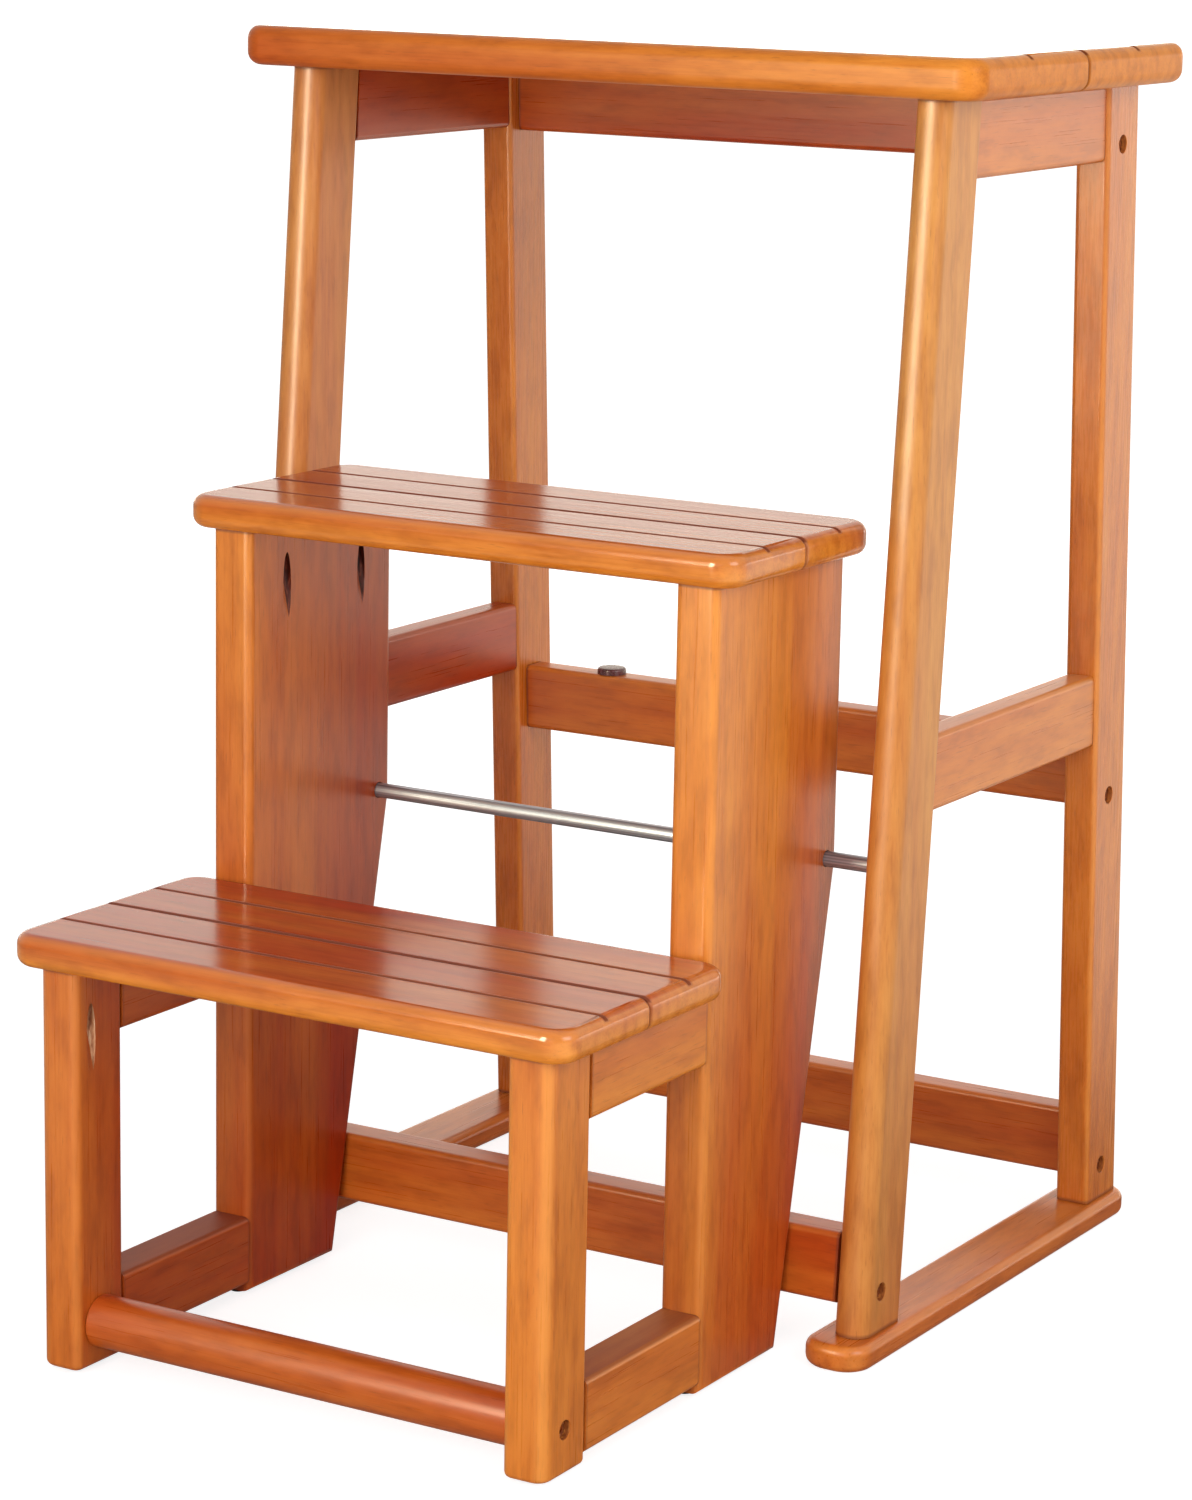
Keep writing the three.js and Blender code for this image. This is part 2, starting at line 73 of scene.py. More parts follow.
def addBlock(name, low, high):
    clearSelection()
    size = [(h - l) / 1000 for l, h in zip(low, high)]
    middle = [(h + l) / 2000 for l, h in zip(low, high)]
    bpy.ops.mesh.primitive_cube_add(size=1, location=middle, scale=size)
    piece = applyPlace()
    piece.name = name
    return piece


def addRound(name, radius, start, end, sides=48):
    clearSelection()
    start, end = Vector(start), Vector(end)
    turn = (end - start).to_track_quat("Z", "Y").to_euler()
    bpy.ops.mesh.primitive_cylinder_add(
        vertices=sides, radius=radius / 1000, depth=(end - start).length / 1000,
        location=(start + end) / 2000, rotation=turn,
    )
    piece = applyPlace()
    piece.name = name
    return piece


def pick(piece, kind, test):  # kind is VERT, EDGE or FACE, and test gets a place and a direction
    useOnly(piece)
    bpy.ops.object.mode_set(mode="EDIT")
    bpy.ops.mesh.select_mode(type=kind)
    bpy.ops.mesh.select_all(action="DESELECT")
    shape = bmesh.from_edit_mesh(piece.data)
    if kind == "VERT":
        found = [v for v in shape.verts if test(v.co * 1000)]
    elif kind == "EDGE":
        found = []
        for edge in shape.edges:
            a, b = (v.co * 1000 for v in edge.verts)
            along = (b - a).normalized()
            if test((a + b) / 2, Vector([abs(part) for part in along])):
                found.append(edge)
    else:
        found = [f for f in shape.faces if test(f.calc_center_median() * 1000, f.normal)]
    for part in found:
        part.select_set(True)
    shape.select_flush_mode()
    bmesh.update_edit_mesh(piece.data)
    return len(found)


def roundEdges(piece, radius, segments, test):
    if pick(piece, "EDGE", test):
        bpy.ops.mesh.bevel(offset=radius / 1000, segments=segments, profile=0.5, affect="EDGES",
                           clamp_overlap=False)
    bpy.ops.object.mode_set(mode="OBJECT")


def moveCorners(piece, shift, test):
    pick(piece, "VERT", test)
    bpy.ops.transform.translate(value=[part / 1000 for part in shift])
    bpy.ops.object.mode_set(mode="OBJECT")


def cutAway(piece, cutter):
    useOnly(piece)
    cut = piece.modifiers.new("cut", "BOOLEAN")
    cut.operation = "DIFFERENCE"
    cut.solver = "EXACT"
    cut.object = cutter
    bpy.ops.object.modifier_apply(modifier=cut.name)
    bpy.data.objects.remove(cutter)


def easeBore(piece, faceX, y, z, radius, width=0.35):  # a small round on a bore's mouth, where lacquer pools
    def onRim(middle, along):
        reach = math.hypot(middle.y - y, middle.z - z)
        return abs(middle.x - faceX) < 0.02 and abs(reach - radius) < 0.2
    roundEdges(piece, width, 2, onRim)


def twinOf(piece, name):  # the left piece of a pair, turned over from the right one
    useOnly(piece)
    bpy.ops.object.duplicate(linked=False)
    twin = bpy.context.active_object
    twin.name = name
    bpy.ops.transform.resize(value=(-1, 1, 1), center_override=(0, 0, 0))
    applyPlace()
    bpy.ops.object.mode_set(mode="EDIT")
    bpy.ops.mesh.select_all(action="SELECT")
    bpy.ops.mesh.normals_make_consistent(inside=False)
    bpy.ops.object.mode_set(mode="OBJECT")
    return twin


def smoothOff(piece, angle=38):  # smooth rounds beside flat faces
    useOnly(piece)
    bpy.ops.object.shade_smooth_by_angle(angle=math.radians(angle))
    flats = piece.modifiers.new("flats", "WEIGHTED_NORMAL")
    flats.keep_sharp = True
    bpy.ops.object.modifier_apply(modifier=flats.name)


# The rounds, which lean away from the flat faces, go paler, but not the undersides: partly lacquer worn off and
# partly a painted highlight where the rounds catch the light
wornAndLitEdge = {"flat": 0.965, "span": 0.2, "under": -0.2}


def markEdges(piece):
    edge = piece.data.attributes.new("edgeWearAndSheen", "FLOAT", "POINT")
    for face in piece.data.polygons:
        flatness = max(abs(part) for part in face.normal)
        lean = min(1, max(0, (wornAndLitEdge["flat"] - flatness) / wornAndLitEdge["span"]))
        if face.normal.z < wornAndLitEdge["under"]:
            lean = 0
        for corner in face.vertices:
            edge.data[corner].value = max(edge.data[corner].value, lean)


def paintBores(piece, bores, material):  # gives the walls of drilled holes their own finish, which in the screw pockets is painted shade or painted light
    piece.data.materials.append(material)
    for face in piece.data.polygons:
        for start, end, radius in bores:
            axis = (end - start).normalized()
            away = face.center * 1000 - start
            off = (away - axis * away.dot(axis)).length
            if off < radius + 0.03 and 0 < away.dot(axis) < (end - start).length + 0.1:
                if abs(face.normal.x) < 0.9 or off < 0.6 * radius:  # a wall or a bottom, not the piece's side
                    face.material_index = len(piece.data.materials) - 1


def finishPiece(piece, body, node, material):
    piece.data.materials.clear()
    piece.data.materials.append(material)
    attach(piece, body)
    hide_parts(node)


# Materials

def linearColour(text):
    parts = [int(text[i:i + 2], 16) / 255 for i in (1, 3, 5)]
    return [p / 12.92 if p <= 0.04045 else ((p + 0.055) / 1.055) ** 2.4 for p in parts] + [1]


def addNode(tree, kind, settings=None, inputs=None):
    node = tree.nodes.new(kind)
    for key, value in (settings or {}).items():
        setattr(node, key, value)
    for key, value in (inputs or {}).items():
        if isinstance(value, bpy.types.NodeSocket):
            tree.links.new(value, node.inputs[key])
        else:
            node.inputs[key].default_value = value
    return node


def startMaterial(name):
    material = bpy.data.materials.new(name)
    material.use_nodes = True
    material.node_tree.nodes.clear()
    return material, material.node_tree


def setStops(node, stops):
    ramp = node.color_ramp
    while len(ramp.elements) < len(stops):
        ramp.elements.new(0.5)
    for element, (position, colour) in zip(ramp.elements, stops):
        element.position = position
        element.color = linearColour(colour)
    return node


# Rubberwood, planed, stained and sprayed with gloss lacquer. The eye gets straight streaks and short dark
# pores along each board, broad drifts between honey and rose, and a clear wet gloss. Each piece's share of the
# rose colour is part stain and part painted shade on pieces that stand in shade, and its slope is how much that
# grows with each metre along x, y and z, painted shade that darkens a piece towards where less light falls.
woodLook = {
    "honey": "#e08b32", "golden": "#d18f42",                 # the stain where it is palest, golden on the front legs
    "rose": "#b0380d", "driftBelow": 0.15, "driftAbove": 0.3,
    "driftLength": 380, "driftWidth": 48,
    "lateWood": "#dcae8c", "ringShare": 0.15, "ringSpacing": 8.5,
    "warpLength": 260, "warpWidth": 45, "warp": 16,          # how the rings wander along the trunk
    "mottleLength": 34, "mottleWidth": 8, "mottleShare": 0.5,
    "fibre": "#e2bc9c", "fibreShare": 0.34,
    "fibreLength": 70, "fibreWidth": 1.3,                    # real fibres are too fine to show, so these are coarser
    "pore": "#6a2c14", "poreShare": 0.28,
    "poreLength": 11, "poreWidth": 0.9,                      # real pores are 0.2 mm wide, too fine to show
    "rippleLength": 60, "rippleWidth": 9,                    # the lacquer's own slow waves
    # the pale colour of the rounds is partly wear and partly a painted highlight
    # the seam colour gives dark joint lines, and painted shade in grooves and under the piece above
    "worn": "#efa552", "seam": "#662611", "roughSpan": 0.09,
}


def lacqueredWood(name, piece, along, seed, toneAndShade, shadeSlope, gloss, seams, pale, wear, shine, topGloss):
    look = woodLook
    material, tree = startMaterial(name)
    turn = {"x": (0, 0, 0), "y": (0, 0, -math.pi / 2), "z": (0, math.pi / 2, 0)}[along]
    corners = [Vector(c) for c in piece.bound_box]
    middle = sum(corners, Vector()) / 8
    start = middle.dot(Vector(shadeSlope))
    middle.rotate(Matrix.Rotation(turn[1], 4, "Y") @ Matrix.Rotation(turn[2], 4, "Z"))
    pith = Vector((0, 0.055 + 0.013 * (seed % 5), 0.03 - 0.021 * (seed % 4)))  # the trunk's middle, beside the piece

    place = addNode(tree, "ShaderNodeTexCoord")
    grain = addNode(tree, "ShaderNodeMapping", None, {
        "Vector": place.outputs["Object"], "Rotation": turn})
    shifted = addNode(tree, "ShaderNodeMapping", None, {
        "Vector": grain.outputs[0], "Location": (0.37 * seed, 0.83 * seed, 0.51 * seed)})

    def stretched(length, width):
        return addNode(tree, "ShaderNodeMapping", None, {
            "Vector": shifted.outputs[0], "Scale": (1000 / length, 1000 / width, 1000 / width)}).outputs[0]

    def noise(vector, detail, roughness=0.5):
        return addNode(tree, "ShaderNodeTexNoise", None, {
            "Vector": vector, "Scale": 1.0, "Detail": detail, "Roughness": roughness})

    warp = noise(stretched(look["warpLength"], look["warpWidth"]), 2)
    centred = addNode(tree, "ShaderNodeMapping", None, {
        "Vector": grain.outputs[0], "Location": pith - middle})
    bent = addNode(tree, "ShaderNodeVectorMath", {"operation": "MULTIPLY_ADD"}, {
        0: warp.outputs["Color"], 1: (0, look["warp"] / 1000, look["warp"] / 1000), 2: centred.outputs[0]})
    rings = addNode(tree, "ShaderNodeTexWave", {
        "wave_type": "RINGS", "rings_direction": "X", "wave_profile": "SIN"}, {
        "Vector": bent.outputs[0], "Scale": 314 / look["ringSpacing"]})  # at Scale 1 the rings are 314 mm apart
    drift = noise(stretched(look["driftLength"], look["driftWidth"]), 3, 0.55)
    mottle = noise(stretched(look["mottleLength"], look["mottleWidth"]), 3, 0.6)
    fibre = noise(stretched(look["fibreLength"], look["fibreWidth"]), 4, 0.62)
    pores = noise(stretched(look["poreLength"], look["poreWidth"]), 2)
    ripple = noise(stretched(look["rippleLength"], look["rippleWidth"]), 1)

    driftShare = addNode(tree, "ShaderNodeMapRange", None, {
        "Value": drift.outputs[0], "From Min": 0.34, "From Max": 0.68,
        "To Min": max(0, toneAndShade - look["driftBelow"]), "To Max": min(1, toneAndShade + look["driftAbove"])})
    # painted shade: the slope adds to the rose share, darker and redder towards where less light falls
    across = addNode(tree, "ShaderNodeVectorMath", {"operation": "DOT_PRODUCT"}, {
        0: place.outputs["Object"], 1: shadeSlope})
    fromMiddle = addNode(tree, "ShaderNodeMath", {"operation": "SUBTRACT"}, {
        0: across.outputs["Value"], 1: start})
    roseShare = addNode(tree, "ShaderNodeMath", {"operation": "ADD", "use_clamp": True}, {
        0: driftShare.outputs[0], 1: fromMiddle.outputs[0]})
    stain = addNode(tree, "ShaderNodeMix", {"data_type": "RGBA"}, {
        0: roseShare.outputs[0], 6: linearColour(look[pale]), 7: linearColour(look["rose"])})
    ringTint = setStops(addNode(tree, "ShaderNodeValToRGB", None, {"Fac": rings.outputs["Fac"]}), [
        (0.0, "#ffffff"), (0.62, "#f6e6dc"), (0.93, look["lateWood"])])
    withRings = addNode(tree, "ShaderNodeMix", {"data_type": "RGBA", "blend_type": "MULTIPLY"}, {
        0: look["ringShare"], 6: stain.outputs[2], 7: ringTint.outputs[0]})
    mottleTint = setStops(addNode(tree, "ShaderNodeValToRGB", None, {"Fac": mottle.outputs[0]}), [
        (0.34, "#c7aa76"), (0.5, "#efe2cb"), (0.66, "#ffffff")])
    withMottle = addNode(tree, "ShaderNodeMix", {"data_type": "RGBA", "blend_type": "MULTIPLY"}, {
        0: look["mottleShare"], 6: withRings.outputs[2], 7: mottleTint.outputs[0]})
    fibreTint = setStops(addNode(tree, "ShaderNodeValToRGB", None, {"Fac": fibre.outputs[0]}), [
        (0.32, look["fibre"]), (0.52, "#fdf4ee"), (0.7, "#ffffff")])
    withFibre = addNode(tree, "ShaderNodeMix", {"data_type": "RGBA", "blend_type": "MULTIPLY"}, {
        0: look["fibreShare"], 6: withMottle.outputs[2], 7: fibreTint.outputs[0]})
    poreShare = addNode(tree, "ShaderNodeMapRange", None, {
        "Value": pores.outputs[0], "From Min": 0.63, "From Max": 0.75,
        "To Min": 0.0, "To Max": look["poreShare"]})
    withPores = addNode(tree, "ShaderNodeMix", {"data_type": "RGBA"}, {
        0: poreShare.outputs[0], 6: withFibre.outputs[2], 7: linearColour(look["pore"])})
    # painted highlight with wear: the rounds take the pale colour, less on pieces with more rose, which stand in
    # shade
    edge = addNode(tree, "ShaderNodeAttribute", {"attribute_name": "edgeWearAndSheen"})
    edgeShare = addNode(tree, "ShaderNodeMath", {"operation": "MULTIPLY"}, {
        0: edge.outputs["Fac"], 1: wear * (1 - toneAndShade)})
    withWearAndSheen = addNode(tree, "ShaderNodeMix", {"data_type": "RGBA"}, {
        0: edgeShare.outputs[0], 6: withPores.outputs[2], 7: linearColour(look["worn"])})

    colour = withWearAndSheen.outputs[2]
    rough = addNode(tree, "ShaderNodeMapRange", None, {
        "Value": fibre.outputs[0], "From Min": 0.3, "From Max": 0.7,
        "To Min": gloss, "To Max": gloss + look["roughSpan"]}).outputs[0]
    axes = addNode(tree, "ShaderNodeSeparateXYZ", None, {0: place.outputs["Object"]})
    if topGloss:  # the top is rubbed smoother than the rest
        top = max(corner.z for corner in corners)
        rough = addNode(tree, "ShaderNodeMapRange", None, {
            "Value": axes.outputs[2], "From Min": top - 0.0008, "From Max": top - 0.0002,
            "To Min": rough, "To Max": topGloss}).outputs[0]
    for axis, seamPlace, reach, depth, lowest in seams:  # darker in joints as dark joint lines, and painted shade in the grooves and under the piece above
        away = addNode(tree, "ShaderNodeMath", {"operation": "SUBTRACT"}, {
            0: axes.outputs[axis], 1: seamPlace / 1000})
        size = addNode(tree, "ShaderNodeMath", {"operation": "ABSOLUTE"}, {0: away.outputs[0]})
        inside = addNode(tree, "ShaderNodeMapRange", None, {
            "Value": size.outputs[0], "From Min": reach / 1000, "From Max": 0.4 * reach / 1000})
        above = addNode(tree, "ShaderNodeMapRange", None, {
            "Value": axes.outputs[2], "From Min": lowest / 1000 - 0.0005, "From Max": lowest / 1000 + 0.0005})
        share = addNode(tree, "ShaderNodeMath", {"operation": "MULTIPLY"}, {
            0: inside.outputs[0], 1: above.outputs[0]})
        dark = addNode(tree, "ShaderNodeMath", {"operation": "MULTIPLY"}, {0: share.outputs[0], 1: depth})
        colour = addNode(tree, "ShaderNodeMix", {"data_type": "RGBA"}, {
            0: dark.outputs[0], 6: colour, 7: linearColour(look["seam"])}).outputs[2]
        rough = addNode(tree, "ShaderNodeMath", {"operation": "MAXIMUM"}, {
            0: rough, 1: dark.outputs[0]}).outputs[0]
    relief = addNode(tree, "ShaderNodeMath", {"operation": "SUBTRACT"}, {
        0: fibre.outputs[0], 1: poreShare.outputs[0]})
    fine = addNode(tree, "ShaderNodeBump", None, {
        "Strength": 0.15, "Distance": 0.00012, "Height": relief.outputs[0]})
    wet = addNode(tree, "ShaderNodeBump", None, {
        "Strength": 0.3, "Distance": 0.0003, "Height": ripple.outputs[0], "Normal": fine.outputs[0]})
    shader = addNode(tree, "ShaderNodeBsdfPrincipled", None, {
        "Base Color": colour, "Roughness": rough, "IOR": 1.5,
        "Specular IOR Level": shine, "Normal": wet.outputs[0]})
    addNode(tree, "ShaderNodeOutputMaterial", None, {"Surface": shader.outputs[0]})
    return material


# Rubberwood inside drilled holes, torn by the drill. The eye gets a dull brown with pale torn fibres. In the
# screw pockets the colour is painted: near black, painted shade, in the deep pockets of the side boards, and
# a pale pink, painted light, in the shallow pockets of the posts.
torn = {"length": 9, "width": 1.6}  # real torn fibres are half a millimetre wide, too fine to show


def drilledWood(name, dark, middle, pale, roughness):
    material, tree = startMaterial(name)
    place = addNode(tree, "ShaderNodeTexCoord")
    long = addNode(tree, "ShaderNodeMapping", None, {
        "Vector": place.outputs["Object"],
        "Scale": (1000 / torn["width"], 1000 / torn["width"], 1000 / torn["length"])})
    fibres = addNode(tree, "ShaderNodeTexNoise", None, {
        "Vector": long.outputs[0], "Scale": 1.0, "Detail": 4, "Roughness": 0.6})
    tint = setStops(addNode(tree, "ShaderNodeValToRGB", None, {"Fac": fibres.outputs[0]}), [
        (0.36, dark), (0.54, middle), (0.7, pale)])
    bump = addNode(tree, "ShaderNodeBump", None, {
        "Strength": 0.6, "Distance": 0.0003, "Height": fibres.outputs[0]})
    shader = addNode(tree, "ShaderNodeBsdfPrincipled", None, {
        "Base Color": tint.outputs[0], "Roughness": roughness, "IOR": 1.45, "Normal": bump.outputs[0]})
    addNode(tree, "ShaderNodeOutputMaterial", None, {"Surface": shader.outputs[0]})
    return material


boredWood = drilledWood("drilled rubberwood of a bolt hole", "#7c3c14", "#a85f28", "#cd8844", 0.6)
shadedPocket = drilledWood(
    "drilled and stained rubberwood of a screw pocket", "#2c0d08", "#5c2013", "#95503a", 0.32)
litPocket = drilledWood("drilled bare rubberwood of a screw pocket", "#9a5c38", "#d09a70", "#edcdaa", 0.6)
woodCount = 0  # each piece of wood gets a grain of its own


def finishWood(piece, body, node, along, toneAndShade, shadeSlope=(0, 0, 0), gloss=0.26, seams=(), bores=(), pockets=(),
               pale="honey", wear=0.35, shine=0.45, topGloss=None, pocketWalls=shadedPocket):
    global woodCount
    woodCount += 1
    smoothOff(piece)
    material = lacqueredWood(
        "lacquered rubberwood " + piece.name, piece, along, woodCount, toneAndShade, shadeSlope, gloss, seams,
        pale, wear, shine, topGloss)
    finishPiece(piece, body, node, material)
    if bores:
        paintBores(piece, bores, boredWood)
    if pockets:
        paintBores(piece, pockets, pocketWalls)


# The dark lines where two pieces meet: dark joint lines where rails end on the pieces beside them, and painted
# shade under the piece above and where a leg stands on its runner. A seam is an axis, a place on it, how far the
# darkening spreads, how dark it is, and the height that it starts from.
jointLineAndShade = {"reach": 1.8, "footReach": 2.2, "dark": 0.6, "lowest": -1}


def topSeamShade(piece):  # painted shade where a piece meets the one above it
    top = max(corner[2] for corner in piece.bound_box) * 1000
    return [(2, top, jointLineAndShade["reach"], jointLineAndShade["dark"], jointLineAndShade["lowest"])]


def footSeamShade(piece):  # painted shade where a leg stands on its runner
    foot = min(corner[2] for corner in piece.bound_box) * 1000
    return [(2, foot, jointLineAndShade["footReach"], jointLineAndShade["dark"], jointLineAndShade["lowest"])]


def endSeams(piece, axis, dark=jointLineAndShade["dark"]):  # where a rail's ends meet the legs
    ends = [corner[axis] * 1000 for corner in piece.bound_box]
    return [(axis, end, jointLineAndShade["reach"], dark, jointLineAndShade["lowest"]) for end in (min(ends), max(ends))]


# Bright steel bar, cold drawn through a die. The eye gets a cool grey mirror, drawn out in fine lines along it.
steelLine = {"length": 160, "width": 0.9}  # a die's real lines are far finer, too fine to show


def drawnSteel(name):
    material, tree = startMaterial(name)
    place = addNode(tree, "ShaderNodeTexCoord")
    lines = addNode(tree, "ShaderNodeMapping", None, {
        "Vector": place.outputs["Object"],
        "Scale": (1000 / steelLine["length"], 1000 / steelLine["width"], 1000 / steelLine["width"])})
    streak = addNode(tree, "ShaderNodeTexNoise", None, {
        "Vector": lines.outputs[0], "Scale": 1.0, "Detail": 3, "Roughness": 0.55})
    tint = setStops(addNode(tree, "ShaderNodeValToRGB", None, {"Fac": streak.outputs[0]}), [
        (0.36, "#848b99"), (0.5, "#a6adbb"), (0.64, "#c6ccd8")])
    gloss = addNode(tree, "ShaderNodeMapRange", None, {
        "Value": streak.outputs[0], "From Min": 0.3, "From Max": 0.7, "To Min": 0.5, "To Max": 0.4})
    bump = addNode(tree, "ShaderNodeBump", None, {
        "Strength": 0.3, "Distance": 0.00008, "Height": streak.outputs[0]})
    shader = addNode(tree, "ShaderNodeBsdfPrincipled", None, {
        "Base Color": tint.outputs[0], "Metallic": 0.85, "Roughness": gloss.outputs[0],
        "Normal": bump.outputs[0]})
    addNode(tree, "ShaderNodeOutputMaterial", None, {"Surface": shader.outputs[0]})
    return material


# Socket screws of steel, turned and then bronzed. The eye gets a light copper-brown metal, a little patchy.
bronzeSpot = 1.8  # real spots are half this size, too fine to show


def bronzedSteel(name, seed):
    material, tree = startMaterial(name)
    place = addNode(tree, "ShaderNodeTexCoord")
    shifted = addNode(tree, "ShaderNodeMapping", None, {
        "Vector": place.outputs["Object"], "Location": (0.31 * seed, 0.17 * seed, 0)})
    spots = addNode(tree, "ShaderNodeTexNoise", None, {
        "Vector": shifted.outputs[0], "Scale": 1000 / bronzeSpot, "Detail": 4, "Roughness": 0.6})
    tint = setStops(addNode(tree, "ShaderNodeValToRGB", None, {"Fac": spots.outputs[0]}), [
        (0.35, "#a4714a"), (0.55, "#d6a077"), (0.7, "#f2cda6")])
    gloss = addNode(tree, "ShaderNodeMapRange", None, {
        "Value": spots.outputs[0], "From Min": 0.3, "From Max": 0.7, "To Min": 0.45, "To Max": 0.28})
    bump = addNode(tree, "ShaderNodeBump", None, {
        "Strength": 0.2, "Distance": 0.0001, "Height": spots.outputs[0]})
    shader = addNode(tree, "ShaderNodeBsdfPrincipled", None, {
        "Base Color": tint.outputs[0], "Metallic": 1.0, "Roughness": gloss.outputs[0],
        "Normal": bump.outputs[0]})
    addNode(tree, "ShaderNodeOutputMaterial", None, {"Surface": shader.outputs[0]})
    return material


# Moulded rubber. The eye gets a dark, finely dusty mottle: red-brown with a soft sheen on the bumpers,
# near-black and dull on the feet.
dustGrain = 2.5  # real dust is a tenth of this, too fine to show


def mouldedRubber(name, dark, pale, roughness, shine):
    material, tree = startMaterial(name)
    place = addNode(tree, "ShaderNodeTexCoord")
    dust = addNode(tree, "ShaderNodeTexNoise", None, {
        "Vector": place.outputs["Object"], "Scale": 1000 / dustGrain, "Detail": 5, "Roughness": 0.65})
    tint = setStops(addNode(tree, "ShaderNodeValToRGB", None, {"Fac": dust.outputs[0]}), [
        (0.38, dark), (0.68, pale)])
    gloss = addNode(tree, "ShaderNodeMapRange", None, {
        "Value": dust.outputs[0], "From Min": 0.3, "From Max": 0.7,
        "To Min": roughness - 0.08, "To Max": roughness + 0.1})
    bump = addNode(tree, "ShaderNodeBump", None, {
        "Strength": 0.3, "Distance": 0.0001, "Height": dust.outputs[0]})
    shader = addNode(tree, "ShaderNodeBsdfPrincipled", None, {
        "Base Color": tint.outputs[0], "Roughness": gloss.outputs[0], "IOR": 1.5,
        "Specular IOR Level": shine, "Normal": bump.outputs[0]})
    addNode(tree, "ShaderNodeOutputMaterial", None, {"Surface": shader.outputs[0]})
    return material


# Lean of the legs, in millimetres of depth for each millimetre of height
frontLean = math.tan(math.radians(4.35))
rearLean = -math.tan(math.radians(2.93))
boltHole = {"head": 4.9, "shank": 3.3, "recess": 7.3, "reach": 58, "painted": 8, "outside": 4}


def headBore(faceX, place):  # the recess for a bolt's head, as a place that takes the drilled finish
    side = 1 if faceX > 0 else -1
    return Vector((faceX - boltHole["painted"] * side, *place)), Vector((faceX + side, *place)), boltHole["head"]


def drillBolt(piece, faceX, y, z, headToo=True):  # the recess for the head, then the hole for the shank
    reach = boltHole["reach"] * (1 if faceX > 0 else -1)
    cutAway(piece, addRound("drill", boltHole["shank"], (faceX - reach, y, z), (faceX, y, z), 32))
    if headToo:
        bottom, mouth = faceX - boltHole["recess"], faceX + boltHole["outside"]
        cutAway(piece, addRound("drill", boltHole["head"], (bottom, y, z), (mouth, y, z)))
        easeBore(piece, faceX, y, z, boltHole["head"])


def boltPlace(node):
    low, high = boxOf(node)
    return (low.y + high.y) / 2, (low.z + high.z) / 2


# Seat and treads: a slab with round corners and rolled edges, sawn into two boards at the middle,
# with a V joint between them and a V groove along each. Painted shade darkens the joint's V and the grooves,
# and a dark joint line runs down the ends; how far they reach is given in joint widths and groove widths.
boardCut = {"grooveRim": 0.5, "jointReach": 1.6, "endReach": 1.1, "grooveReach": 1.9, "dark": 0.85,
            "endDark": 0.5, "down": 2.6}
seat = {"corner": 14, "edge": 7, "joint": 1.9, "grooveWidth": 1.3, "grooveDepth": 1.5, "gloss": 0.35,
        "topGloss": 0.08, "wear": 0.1, "shine": 0.15}
tread = {"corner": 14, "edge": 6, "joint": 1.9, "grooveWidth": 1.4, "grooveDepth": 1.6, "gloss": 0.14,
         "topGloss": None, "wear": 0.3, "shine": 0.45}


def makeBoards(names, nodes, body, look, tonesAndShades, shadeSlope):
    low, joint = boxOf(nodes[0])
    jointRear, high = boxOf(nodes[1])
    slab = addBlock("slab", low, high)
    roundEdges(slab, look["corner"], 10, lambda middle, along: along.z > 0.9)
    roundEdges(slab, look["edge"], 7, lambda middle, along: along.z < 0.1)
    markEdges(slab)
    quarter = (high.y - low.y) / 4
    for y in (low.y + quarter, high.y - quarter):
        groove = addRound("groove", 1, (low.x - pastFace, y, high.z), (high.x + pastFace, y, high.z), 4)
        useOnly(groove)
        bpy.ops.transform.resize(
            value=(1, look["grooveWidth"], look["grooveDepth"]), center_override=(0, y / 1000, high.z / 1000))
        applyPlace()
        cutAway(slab, groove)
        roundEdges(slab, boardCut["grooveRim"], 3, lambda middle, along: (
            along.x > 0.99 and middle.z > high.z - 0.01 and abs(abs(middle.y - y) - look["grooveWidth"]) < 0.05))
    for name, node, cutY, front, toneAndShade in zip(names, nodes, (joint.y, jointRear.y), (True, False), tonesAndShades):
        useOnly(slab)
        bpy.ops.object.duplicate(linked=False)
        board = bpy.context.active_object
        board.name = name
        bpy.ops.object.mode_set(mode="EDIT")
        bpy.ops.mesh.select_all(action="SELECT")
        bpy.ops.mesh.bisect(plane_co=(0, cutY / 1000, 0), plane_no=(0, 1, 0), use_fill=True,
                            clear_outer=front, clear_inner=not front)
        bpy.ops.object.mode_set(mode="OBJECT")
        roundEdges(board, look["joint"], 3,
                   lambda middle, along: abs(middle.y - cutY) < 0.02 and along.y < 0.02)
        # painted shade in the joint's V and the grooves near the top, and a dark joint line down the whole end
        seams = [(1, cutY, look["joint"] * boardCut["jointReach"], boardCut["dark"], high.z - boardCut["down"]),
                 (1, cutY, look["joint"] * boardCut["endReach"], boardCut["endDark"], low.z - 1)]
        for y in (low.y + quarter, high.y - quarter):
            seams.append(
                (1, y, look["grooveWidth"] * boardCut["grooveReach"], boardCut["dark"], high.z - boardCut["down"]))
        finishWood(board, body, node, "x", toneAndShade, shadeSlope, look["gloss"], seams,
                   wear=look["wear"], shine=look["shine"], topGloss=look["topGloss"])
    bpy.data.objects.remove(slab)


